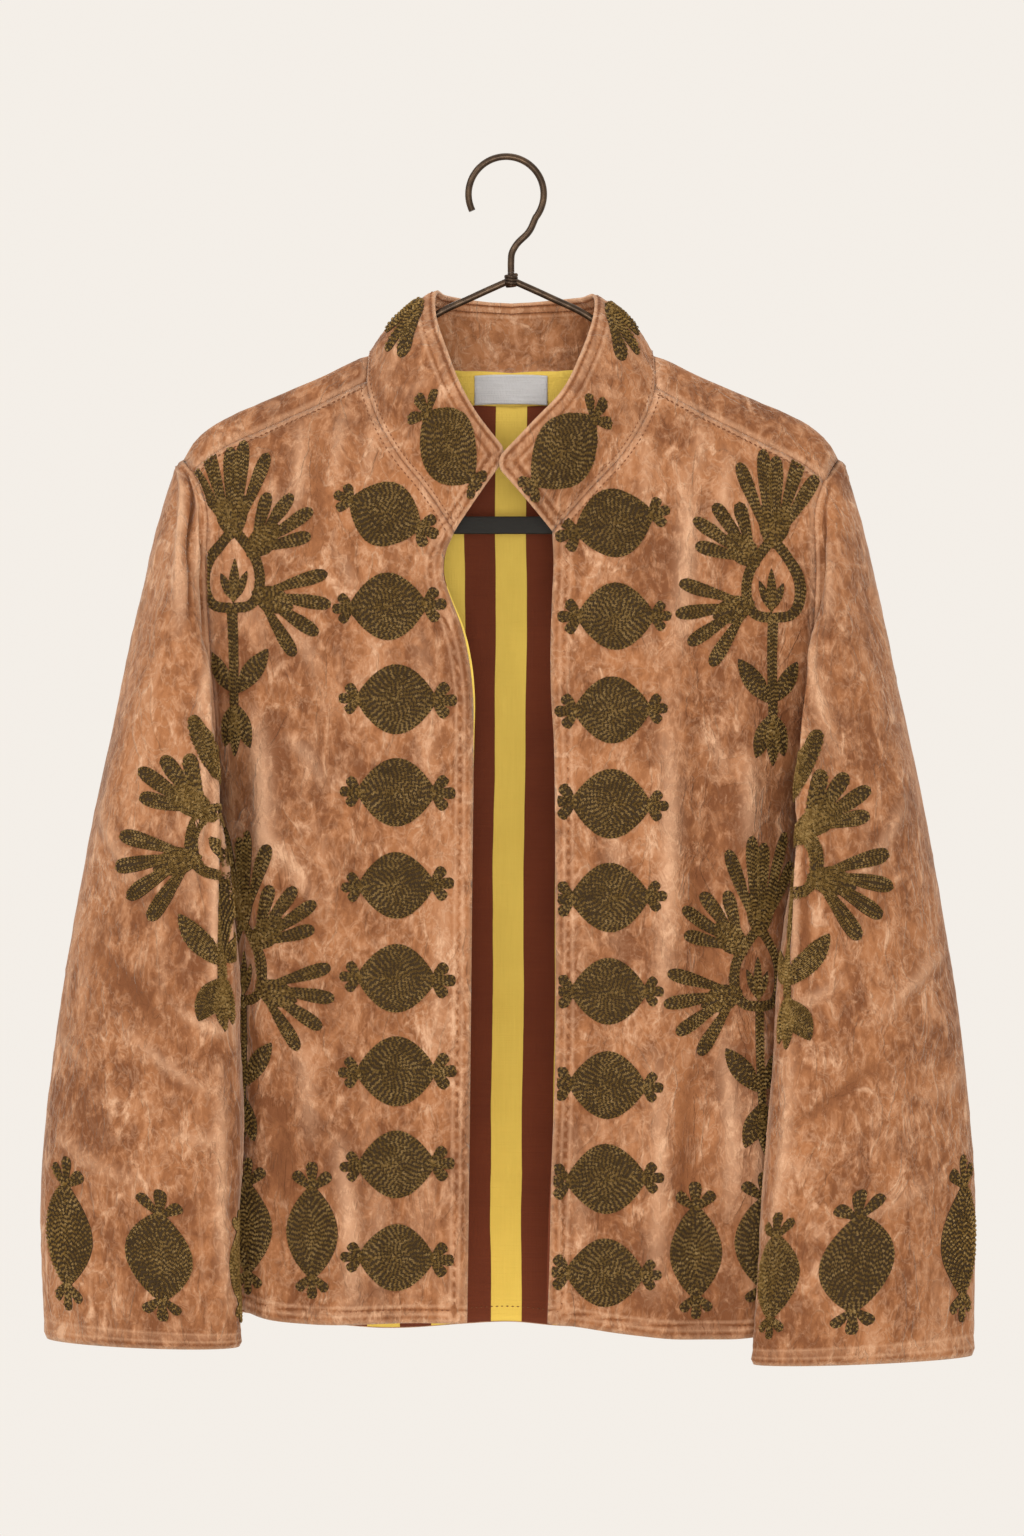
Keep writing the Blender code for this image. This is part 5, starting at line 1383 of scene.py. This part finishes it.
def sleeve_relief(turn, share):
    """The sleeve's folds, by shares round and along it."""
    relief = np.zeros_like(turn)
    for round_top, top, round_low, low, proud, width in zip(*SLEEVE_FOLDS.values()):
        t = (share - top) / (low - top)
        off = (np.mod(turn - round_top * (1 - t) - round_low * t + 0.5, 1.0) - 0.5) * SLEEVE_AROUND
        relief += proud * ease(t / 0.25) * ease((1 - t) / 0.30) * np.exp(-((off / width) ** 2))
    return relief


def sleeve_surface(side):
    """The sleeve's domain is cloth round the tube, from the outer line over the front, and cloth along it."""
    table = SLEEVES[side]
    ring_share, ring, _, into = sleeve_start(side)

    def surface(p):
        turn = np.mod(p[:, 0] / SLEEVE_AROUND, 1.0)
        share = p[:, 1] / SLEEVE_LENGTH
        row = {name: follow(table, "share", name, share) for name in table if name != "share"}
        outer = np.stack([side * row["outer_x"], row["outer_y"], row["outer_z"]], axis=-1)
        inner = np.stack([side * row["inner_x"], row["inner_y"], row["inner_z"]], axis=-1)
        axis = (outer - inner) / 2
        way = unit(axis)
        forward = unit(np.array([0.0, -1.0, 0.0]) + way * way[:, 1:2])
        cos, sin = np.cos(2 * math.pi * turn), np.sin(2 * math.pi * turn)
        relief = sleeve_relief(turn, share)
        oval = (outer + inner) / 2 + axis * cos[:, None] + way * (relief * cos)[:, None]
        oval = oval + forward * (sin * (row["half_depth"] + relief))[:, None]
        oval[:, 0] -= side * np.maximum(sin, 0) ** 1.5 * row["lean"]
        rise = -0.0008 + 0.0060 * (1 - np.exp(-np.maximum(p[:, 1], -PROBE) / 0.0060))
        start = read_off(turn, ring_share, ring) + read_off(turn, ring_share, into) * rise[:, None]
        blend = ease(share / SLEEVE_BLEND)[:, None]
        return start * (1 - blend) + oval * blend

    return surface


def collar_foot(side):
    """The neckline in space from the front corner to the centre back: shares along it, points and normals."""
    front, back = neck_front(side) * (side, 1), neck_back(side) * (side, 1)
    points = np.concatenate([front_surface(side)(front), back_surface(back)[1:]])
    normals = np.concatenate([
        surface_normals(front_surface(side), front, 1), surface_normals(back_surface, back, 1)[1:]
    ])
    run = run_of(points)
    return run / run[-1], points, normals


def collar_surface(p):
    """The collar's domain is cloth along the neckline from the centre back, and cloth up from it."""
    result = np.zeros((len(p), 3))
    for side in (-1, 1):
        mine = (p[:, 0] >= 0) == (side > 0)
        at = 1 - np.abs(p[mine, 0]) / COLLAR_HALF
        up = p[mine, 1] / COLLAR_HEIGHT
        share, points, normals = collar_foot(side)
        base = read_off(at, share, points)
        normal = unit(read_off(at, share, normals))
        table = COLLAR_TOPS[side]
        top = np.stack([
            side * follow(table, "share", "out", at), follow(table, "share", "y", at),
            follow(table, "share", "height", at),
        ], axis=-1)
        rise = top - base
        bulge = normal * (COLLAR_BULGE * np.sin(math.pi * np.clip(up, -0.1, 1.1)))[:, None]
        result[mine] = base + unit(rise) * (SEAM * 1.2) + rise * up[:, None] + bulge
    return result


# Panels: each one's skin, made once


def mirrored(table, side):
    """A crease table for one side of the body, where cloth across has that side's sign."""
    return {**table, "across": table["across"] * side, "across_end": table["across_end"] * side}


def front_skin(side):
    edge, neck, shoulder, hole, seam, hem = front_lines(side)
    return Skin(front_surface(side), 1, mirrored(FRONT_CREASES[side], side), 3 + side, turned=(edge, hem),
                sewn=(neck, shoulder, hole, seam))


def back_skin():
    hem, right, left = back_lines()
    return Skin(back_surface, 1, BACK_CREASES, 7, turned=(hem,), sewn=(*right, *left))


def sleeve_skin(side):
    low = np.array([(SLEEVE_AROUND, SLEEVE_LENGTH), (0.0, SLEEVE_LENGTH)])
    top = np.array([(0.0, 0.0), (SLEEVE_AROUND, 0.0)])
    return Skin(sleeve_surface(side), side, SLEEVE_CREASES[side], 12 + side, turned=(low,), sewn=(top,),
                around=SLEEVE_AROUND)


def collar_lines():
    foot = []
    for side in (-1, 1):
        share, _, _ = collar_foot(side)
        foot.append(side * COLLAR_HALF * (1 - share))
    along = np.unique(np.round(np.concatenate(foot), 7))
    foot = np.stack([along, np.full_like(along, -0.0016)], axis=-1)
    angle = np.linspace(0, math.pi / 2, 9)
    reach = COLLAR_HALF - COLLAR_CORNER
    right = np.stack([
        reach + COLLAR_CORNER * np.cos(angle), COLLAR_HEIGHT - COLLAR_CORNER + COLLAR_CORNER * np.sin(angle)
    ], axis=-1)
    left = (right * (-1, 1))[::-1]
    free = np.concatenate([
        dense([foot[-1], right[0]], 0.003)[:-1], right, dense([right[-1], left[0]], 0.003)[1:-1], left,
        dense([left[-1], foot[0]], 0.003)[1:],
    ])
    return foot, free


def collar_skin():
    foot, free = collar_lines()
    return Skin(collar_surface, -1, COLLAR_CREASES, 21, turned=(free,), sewn=(foot,), rows=COLLAR_ROWS)


def inset(line, by, side_sign):
    """A line moved to its left, or to its right for -1, and its ends trimmed by as much."""
    way = unit(np.gradient(line, axis=0))
    moved = line + leftward(way) * by * side_sign
    trim = max(int(by / max(np.linalg.norm(line[1] - line[0]), 1e-6)), 0)
    return moved[trim: len(moved) - trim] if trim else moved


def front_fruit(side):
    """The column of fruit beside the front edge, two on the hem, and the two leaf sprays."""
    found = []
    for i in range(9):
        out = ROW_OUT[side] + ROW_LEAN[side] * i + ROW_MOVED[side][min(i, 2)]
        at = (out, ROW_TOP[side] - ROW_STEP[side] * i)
        turn = -abs(ROW_TURN[side]) if i == 0 else 2.5 * math.sin(i * 2.3 + side)
        size = 1.0 + 0.025 * math.sin(i * 1.7 + side * 2)
        loops = turned_about(fruit(*ROW_SIZE), at, turn - 90, 1, size)
        found += [loop * (side, 1) for loop in loops]
    for at in HEM_FRUIT[side]:
        found += [loop * (side, 1) for loop in turned_about(fruit(*HEM_SIZE), at)]
    for out, z in SPRAYS[side]:
        found += [loop + (side * out, z) for loop in branch(-side)]
    return found


def back_fruit():
    found = []
    for out in BACK_HEM_FRUIT:
        at = (out, float(down_from_ridge(np.array(out), BACK_HEM_Z)))
        found += turned_about(fruit(*HEM_SIZE), at, 180)
    return found


def seen_on_sleeve(side, seen):
    """Places in a sleeve's cloth that show at places out and up as seen from the front."""
    table = SLEEVES[side]
    share, cos = np.full(len(seen), 0.4), np.zeros(len(seen))
    for _ in range(40):
        row = {name: follow(table, "share", name, share) for name in table if name != "share"}
        lean = row["lean"] * (1 - np.minimum(cos**2, 1)) ** 0.75
        middle, half = (row["outer_x"] + row["inner_x"]) / 2, (row["outer_x"] - row["inner_x"]) / 2
        cos = np.minimum((seen[:, 0] + lean - middle) / half, 0.98)
        held = np.maximum(cos, -1)
        z = (row["outer_z"] + row["inner_z"]) / 2 + (row["outer_z"] - row["inner_z"]) / 2 * held
        share = np.clip(share + (z - seen[:, 1]) / 0.60, 0.02, 0.98)
    turned_in = np.maximum(-0.9 - cos, 0) * half * 1.3
    return np.stack([
        np.arccos(np.maximum(cos, -0.9)) / (2 * math.pi) * SLEEVE_AROUND + turned_in, share * SLEEVE_LENGTH
    ], axis=-1)


def sleeve_fruit(side):
    found = []
    for share in CUFF_FRUIT[side]:
        at = (share * SLEEVE_AROUND, SLEEVE_LENGTH - CUFF_RISE)
        found += turned_about(fruit(*CUFF_SIZE), at, 180)
    found += [seen_on_sleeve(side, loop + SLEEVE_SPRAYS[side]) for loop in branch(1, stout=1.12)]
    return found


def collar_fruit():
    found = []
    for side in (-1, 1):
        loops = turned_about(fruit(*WING_SIZE), (0, 0), 90)
        found += [loop * (-side, 1) + np.array(WING_AT) * (side, 1) for loop in loops]
        for turn in (-52, -17, 18, 50):
            at, way = np.array(NAPE_AT) * (side, 1), heading(180 + turn)
            found.append(tongue(at + way * 0.001, at + way * 0.033, 0.0125))
    return found


# Settings


def colour(text, default):
    return FloatVectorProperty(
        name=text, description=text, subtype="COLOR", size=3, min=0, max=1, default=default
    )


def length(text, default):
    return FloatProperty(
        name=text, description=text, unit="LENGTH", subtype="DISTANCE", default=default, precision=5
    )


class VelvetSettings(bpy.types.PropertyGroup):
    """Sizes and colours of the velvet."""

    step: length("Spacing of the cloth's points", 0.0038)
    pucker: length("Height of the crushed puckers", 0.00072)
    relief: length("Depth of the finest crushed relief", 0.0011)
    # dark and light also paint the shade of crease troughs and dents and the highlights of edges, beads and
    # ridges
    dark: colour("Velvet where the pile stands", (0.162, 0.055, 0.018))
    mid: colour("Velvet seen across the pile", (0.360, 0.146, 0.056))
    light: colour("Velvet where the pile lies flat", (0.640, 0.372, 0.220))


class ThreadSettings(bpy.types.PropertyGroup):
    """Sizes and colours of the embroidery."""

    stitch_length: length("Length of a chain stitch", 0.0026)
    row_gap: length("Distance between rows of stitches", 0.00160)
    bed: length("Height of the bed of thread", 0.00055)
    lift: length("Height of the stitches' legs", 0.00105)
    # dark is painted shade on the beds between the stitches, and the tone of the darkest stitches
    dark: colour("Thread in the gaps", (0.036, 0.019, 0.005))
    mid: colour("Thread", (0.192, 0.106, 0.020))
    light: colour("Thread's rubbed tops", (0.470, 0.315, 0.125))


class LiningSettings(bpy.types.PropertyGroup):
    """Sizes and colours of the lining."""

    stripe: length("Width of a stripe", 0.0204)
    centre: length("Middle of the yellow stripe nearest the centre", 0.0010)
    yellow: colour("Yellow stripe", (0.900, 0.650, 0.125))
    yellow_dark: colour("Yellow stripe in its hollows", (0.700, 0.475, 0.075))
    maroon: colour("Maroon stripe", (0.182, 0.037, 0.010))
    maroon_dark: colour("Maroon stripe in its hollows", (0.100, 0.018, 0.005))


class StudioSettings(bpy.types.PropertyGroup):
    """The backdrop, the lights and the camera."""

    paper: colour("Backdrop", (0.905, 0.860, 0.805))
    lens: FloatProperty(name="Lens", description="Focal length in millimetres", default=110.0)
    key: FloatProperty(name="Key light", description="Strength of the main light", unit="POWER", default=18.5)


# Operators


def velvet(name, node, outline, skin, loops, step, wall=VELVET_SHELL, tube=False):
    """A velvet panel and the thread on it."""
    pile = MATERIALS["velvet"]
    made = shell(name + "_velvet", outline, skin, pile, (node,), step, wall, tube=tube)
    embroider(name + "_embroidery", loops, outline, skin, MATERIALS["thread"])
    return made


def under_velvet(skin):
    """The skin of a lining: its own creases, and the velvet's hollows pressed into it."""
    skin.above, skin.creases, skin.turned = skin.creases, LINING_CREASES, ()
    return skin


class BuildFronts(bpy.types.Operator):
    """Both velvet fronts with their fruit and leaf sprays"""

    bl_idname = "jacket.fronts"
    bl_label = "Fronts"

    def execute(self, context):
        step = context.scene.jacket_velvet.step
        for side, name in ((-1, "front_right"), (1, "front_left")):
            skin = front_skin(side)
            outline = inward(chained(front_lines(side)), -OVERLAP)
            made = velvet(name, name, outline, skin, front_fruit(side), step)
            edge, neck, shoulder, _, _, hem = front_lines(side)
            insets = ((edge, HEM_ROW), (neck, SEAM_ROW), (shoulder, SEAM_ROW), (hem, HEM_ROW))
            rows = [inset(line, by, -side) for line, by in insets]
            stitched(name + "_topstitch", [topstitch(rows, skin)], MATERIALS["stitch"])
        return {"FINISHED"}


class BuildBack(bpy.types.Operator):
    """The velvet back, carried over the shoulders"""

    bl_idname = "jacket.back"
    bl_label = "Back"

    def execute(self, context):
        skin = back_skin()
        step = context.scene.jacket_velvet.step * BACK_STEPS
        made = velvet("back", "back_panel", back_outline(-OVERLAP), skin, back_fruit(), step)
        hem, right, left = back_lines()
        rows = [inset(hem, HEM_ROW, -1), inset(right[3], SEAM_ROW, 1), inset(left[3], SEAM_ROW, -1)]
        stitched("back_topstitch", [topstitch(rows, skin)], MATERIALS["stitch"])
        return {"FINISHED"}


class BuildSleeves(bpy.types.Operator):
    """Both straight sleeves, each one tube of velvet"""

    bl_idname = "jacket.sleeves"
    bl_label = "Sleeves"

    def execute(self, context):
        step = context.scene.jacket_velvet.step * SLEEVE_STEPS
        for side, name in ((-1, "sleeve_right"), (1, "sleeve_left")):
            skin = sleeve_skin(side)
            top = dense([(0.0, 0.0), (SLEEVE_AROUND, 0.0)], step)
            low = dense([(SLEEVE_AROUND, SLEEVE_LENGTH), (0.0, SLEEVE_LENGTH)], step)
            seam = dense([(SLEEVE_AROUND, 0.0), (SLEEVE_AROUND, SLEEVE_LENGTH)], step)
            outline = chained([top, seam, low, (seam * (0, 1))[::-1]])
            made = velvet(name, name, outline, skin, sleeve_fruit(side), step, tube=True)
            row = np.array([(out, SLEEVE_LENGTH - HEM_ROW) for out in (0.001, SLEEVE_AROUND - 0.001)])
            stitched(name + "_topstitch", [topstitch([row], skin)], MATERIALS["stitch"])
        return {"FINISHED"}


class BuildCollar(bpy.types.Operator):
    """The stand collar and its two front wings"""

    bl_idname = "jacket.collar"
    bl_label = "Collar"

    def execute(self, context):
        skin = collar_skin()
        foot, free = collar_lines()
        step = context.scene.jacket_velvet.step * COLLAR_STEPS
        made = velvet("collar", "collar", chained([foot, free]), skin, collar_fruit(), step, COLLAR_SHELL)
        near, far = COLLAR_ROWS
        rows = [inset(free, near, 1), inset(free, far, 1), inset(foot, SEAM_ROW, 1)]
        nape = free[np.abs(free[:, 0]) < NAPE_HALF]
        inside = topstitch([inset(nape, far, 1), inset(nape, near, 1)], skin, under=COLLAR_SHELL)
        stitched("collar_topstitch", [topstitch(rows, skin), inside], MATERIALS["stitch"])
        return {"FINISHED"}


class BuildLining(bpy.types.Operator):
    """The striped lining of the back and the fronts, the neck facing and the bare label"""

    bl_idname = "jacket.lining"
    bl_label = "Lining"

    def execute(self, context):
        skin, stripes = under_velvet(back_skin()), MATERIALS["stripes"]
        behind = VELVET_WALL + SEAM
        made = shell("back_lining", back_outline(SEAM), skin, stripes, ("lining_back",),
                     LINING_STEP, LINING_SHELL, back_off=behind)
        hem, _, _ = back_lines()
        row = topstitch([inset(hem[30:-30], LINING_HEM_ROW, -1)], skin, under=behind + LINING_SHELL)
        stitched("back_lining_stitch", [row], MATERIALS["stitch"])
        for side, name in ((-1, "front_right"), (1, "front_left")):
            skin = under_velvet(front_skin(side))
            lines = front_lines(side)
            sliver = np.array(lines[0])
            sliver[:, 0] -= side * (0.0003 + lining_peep(side, sliver[:, 1]))
            lines[0] = sliver
            lines[-1] = np.concatenate([lines[-1][:-1], sliver[:1]])
            outline = inward(chained(lines), SEAM / 2)
            made = shell(name + "_lining", outline, skin, stripes, ("lining_" + name,),
                         LINING_STEP, LINING_SHELL, back_off=behind, shift=side * FRONT_STRIPES)
        off = VELVET_WALL + LINING_WALL + 2 * SEAM
        across = np.linspace(-FACING_HALF, FACING_HALF, 61)
        down = np.interp(np.abs(across), BACK_NECKLINE["out"][::-1], BACK_NECKLINE["down"][::-1]) - 0.0046
        upper = np.stack([across, down], axis=-1)
        lower = (upper + (0, FACING_HEIGHT + 0.0020))[::-1]
        ends = [dense([upper[-1], lower[0]], 0.002), dense([lower[-1], upper[0]], 0.002)]
        outline = chained([upper, ends[0], lower, ends[1]])
        skin = Skin(back_surface, 1, LINING_CREASES, 31)
        made = shell("neck_band", outline, skin, MATERIALS["facing"], ("neck_facing",),
                     BAND_STEP, LINING_SHELL, back_off=off)
        row = topstitch([lower + (0, -0.0025)], skin, under=off + LINING_SHELL)
        stitched("neck_band_stitch", [row], MATERIALS["stitch"])
        top = BACK_NECKLINE["down"][-1] - 0.0040
        low = top + LABEL_HEIGHT
        corners = np.array([(-LABEL_HALF, top), (LABEL_HALF, top), (LABEL_HALF, low), (-LABEL_HALF, low)])
        outline = chained([dense(corners[[i, (i + 1) % 4]], 0.0012) for i in range(4)])
        deeper = off + LINING_WALL + SEAM
        plain = Skin(back_surface, 1, LINING_CREASES, 33)
        made = shell("bare_label", outline, plain, MATERIALS["label"], ("label",), LABEL_STEP,
                     LABEL_SHELL, back_off=deeper)
        inner = corners * (0.965, 1) + np.array([(0, 0.0011), (0, 0.0011), (0, -0.0011), (0, -0.0011)])
        sides = [inner[[i, (i + 1) % 4]] for i in range(4)]
        row = topstitch(sides, plain, pitch=0.0016, length=0.0012, fat=0.00016, lift=0.0001,
                        under=deeper + LABEL_SHELL)
        stitched("label_stitch", [row], MATERIALS["label"])
        return {"FINISHED"}


def lining_peep(side, z):
    """How far the front's lining shows past the velvet's turned edge, which curls out there."""
    if side < 0:
        return 0.0018 * np.exp(-(((z + 0.325) / 0.055) ** 2))
    return 0.0016 * np.exp(-(((z + 0.705) / 0.050) ** 2))


def wire(name, points, radius, material, nodes=(), sides=5):
    """A round wire along points."""
    curve = bpy.data.curves.new(name, "CURVE")
    curve.dimensions = "3D"
    curve.bevel_depth = radius
    curve.bevel_resolution = sides
    curve.use_fill_caps = True
    spline = curve.splines.new("POLY")
    spline.points.add(len(points) - 1)
    for point, place in zip(spline.points, points):
        point.co = (*place, 1)
    spline.use_smooth = True
    return piece(name, curve, material, nodes, smooth=False)


def hook_points():
    """From the tip over the hook's arc, then down through the bend to the wound apex."""
    centre = np.array([-CENTRE_X, 0.0, -HOOK_RADIUS + WIRE_RADIUS])
    arc = [
        centre + HOOK_RADIUS * np.array([math.cos(a), 0, math.sin(a)])
        for a in np.radians(np.linspace(206, -38, 61))
    ]
    low = WRAP_TOP + SEAM
    bend = columns("height x", [
        (low, 0.0), (-0.0665, 0.0000), (-0.0605, 0.0006), (-0.0545, 0.0040), (-0.0475, 0.0110),
        tuple(arc[-1][[2, 0]]),
    ])
    heights = np.linspace(arc[-1][2], low, 30)[1:]
    return arc + [np.array([float(follow(bend, "height", "x", z)), 0.0, z]) for z in heights]


def arm_points(side):
    """From the wound apex under the collar and the shoulder ridge, then down to the bar's end."""
    route = columns("out height", [
        (0.0000, -0.0780), (0.0250, -0.0893), (0.0510, -0.1022), (0.0720, -0.1190), (0.0900, -0.1345),
        *[(out, float(ridge_height(out)) - 0.0092) for out in (0.110, 0.140, 0.170, ARM_OUT)],
    ])
    outs = np.linspace(0.0015, ARM_OUT, 40)
    line = [(side * x, 0.0, float(follow(route, "out", "height", x))) for x in outs]
    end = line[-1][2]
    for a in np.radians(np.linspace(15, 110, 12)):
        out, drop = ARM_OUT + ARM_TURN * math.sin(a), ARM_TURN * (1 - math.cos(a)) + 0.0012
        line.append((side * out, 0.0, end - drop))
    low_x = BAR_HALF + WIRE_RADIUS + SEAM
    for out, z in ((low_x + 0.0045, -0.2100), (low_x, -0.2230), (low_x, BAR_CENTRE_Z - BAR_HEIGHT / 2)):
        line.append((side * out, 0.0, z))
    return line


class BuildHanger(bpy.types.Operator):
    """The wire hanger: hook, wound apex, arms and a flat bar"""

    bl_idname = "jacket.hanger"
    bl_label = "Hanger"

    def execute(self, context):
        metal = MATERIALS["wire"]
        shift = np.array([CENTRE_X, 0.0, 0.0])
        routes = {"hook": hook_points(), "arm_right": arm_points(-1), "arm_left": arm_points(1)}
        for name, line in routes.items():
            wire(name, np.array(line) + shift, WIRE_RADIUS, metal, ("hanger_" + name,))
        turn = np.linspace(0, 2 * math.pi * COIL_TURNS, 90)
        fine = COIL_RADIUS
        z = np.linspace(WRAP_TOP - fine, WRAP_LOW + fine, 90)
        coil = np.stack([
            (WRAP_RADIUS - fine) * np.cos(turn), (WRAP_RADIUS - fine) * np.sin(turn), z
        ], axis=-1)
        wire("wound_apex", coil + shift, fine, metal, ("hanger_wrap",), 3)
        core = np.array([(0, 0, WRAP_TOP), (0, 0, (WRAP_TOP + WRAP_LOW) / 2), (0, 0, WRAP_LOW + 0.001)])
        wire("apex_core", core + shift, WRAP_RADIUS - 2 * fine + 0.0004, metal, (), 3)
        mesh = bpy.data.meshes.new("bar")
        work = bmesh.new()
        bmesh.ops.create_cube(work, size=1.0)
        for v in work.verts:
            v.co = (v.co.x * 2 * BAR_HALF, v.co.y * BAR_THICK, v.co.z * BAR_HEIGHT + BAR_CENTRE_Z)
            v.co.x += CENTRE_X
        bmesh.ops.bevel(work, geom=work.edges[:], offset=0.0011, segments=4, affect="EDGES", profile=0.6)
        work.to_mesh(mesh)
        work.free()
        piece("bar", mesh, MATERIALS["bar"], ("hanger_bar",))
        return {"FINISHED"}


def placed(name, data):
    """An object of the studio, linked to the scene."""
    made = bpy.data.objects.new(name, data)
    bpy.context.scene.collection.objects.link(made)
    return made


class BuildStudio(bpy.types.Operator):
    """The pale floor, the soft lights and the camera"""

    bl_idname = "jacket.studio"
    bl_label = "Studio"

    def execute(self, context):
        s = context.scene.jacket_studio
        scene = context.scene
        world = bpy.data.worlds.new("studio")
        scene.world = world
        world.use_nodes = True
        background = world.node_tree.nodes["Background"]
        background.inputs["Color"].default_value = (*s.paper, 1)
        background.inputs["Strength"].default_value = 1.0
        scene.view_settings.view_transform = "Standard"
        scene.view_settings.look = "None"
        mesh = bpy.data.meshes.new("floor")
        turn = np.linspace(0, 2 * math.pi, 65)[:-1]
        rim = [(FLOOR_RADIUS * math.cos(a), FLOOR_RADIUS * math.sin(a), FLOOR_Z) for a in turn]
        mesh.from_pydata(rim, [], [tuple(range(64))])
        floor = placed("floor", mesh)
        paper = Finish("pale floor", Roughness=0.9, Specular_IOR_Level=0.1)
        grain = paper.cloud(paper.places(), 40.0, 4.0)
        mesh.materials.append(paper.feed(Base_Color=paper.mix(grain, (0.76, 0.72, 0.67), (0.80, 0.76, 0.71))))
        for name, (place, size, share) in LIGHTS.items():
            light = bpy.data.lights.new(name, "AREA")
            light.shape = "DISK"
            light.size = size
            light.energy = s.key * share
            lamp = placed(name, light)
            lamp.location = place
            lamp.rotation_mode = "QUATERNION"
            lamp.rotation_quaternion = (Vector(LIT_POINT) - Vector(place)).to_track_quat("-Z", "Y")
        camera = bpy.data.cameras.new("camera")
        camera.lens = s.lens
        camera.sensor_width = SENSOR
        view = placed("camera", camera)
        distance = PICTURE_HEIGHT / 2 / (SENSOR / 2 / s.lens)
        view.location = (CENTRE_X + PICTURE_X, FRONT_PLANE - distance, PICTURE_Z)
        view.rotation_euler = (math.pi / 2, 0, 0)
        camera.clip_end = 60.0
        scene.camera = view
        return {"FINISHED"}


OPERATORS = (BuildStudio, BuildBack, BuildFronts, BuildSleeves, BuildCollar, BuildLining, BuildHanger)
SETTINGS = {
    "jacket_velvet": VelvetSettings, "jacket_thread": ThreadSettings, "jacket_lining": LiningSettings,
    "jacket_studio": StudioSettings,
}


class JacketPanel(bpy.types.Panel):
    """The jacket's settings and its building steps"""

    bl_idname = "VIEW3D_PT_jacket"
    bl_label = "Jacket"
    bl_space_type = "VIEW_3D"
    bl_region_type = "UI"
    bl_category = "Jacket"

    def draw(self, context):
        for name, group in SETTINGS.items():
            box = self.layout.box()
            box.label(text=group.__doc__)
            for setting in group.__annotations__:
                box.prop(getattr(context.scene, name), setting)
        for operator in OPERATORS:
            self.layout.operator(operator.bl_idname)


CLASSES = (*SETTINGS.values(), *OPERATORS, JacketPanel)


def register():
    for made in CLASSES:
        bpy.utils.register_class(made)
    for name, group in SETTINGS.items():
        setattr(bpy.types.Scene, name, PointerProperty(type=group))


def unregister():
    for name in SETTINGS:
        delattr(bpy.types.Scene, name)
    for made in reversed(CLASSES):
        bpy.utils.unregister_class(made)


def main():
    register()
    MATERIALS.update(
        velvet=velvet_finish(), thread=thread_finish(), stripes=stripe_finish(), stitch=stitch_finish(),
        wire=wire_finish(), bar=bar_finish(),
        facing=plain_cotton_finish("yellow cotton", (0.900, 0.650, 0.125), (0.560, 0.360, 0.050)),
        label=plain_cotton_finish("grey satin", (0.640, 0.630, 0.625), (0.450, 0.442, 0.440)),
    )
    for operator in OPERATORS:
        group, step = operator.bl_idname.split(".")
        getattr(getattr(bpy.ops, group), step)()


if __name__ == "__main__":
    main()
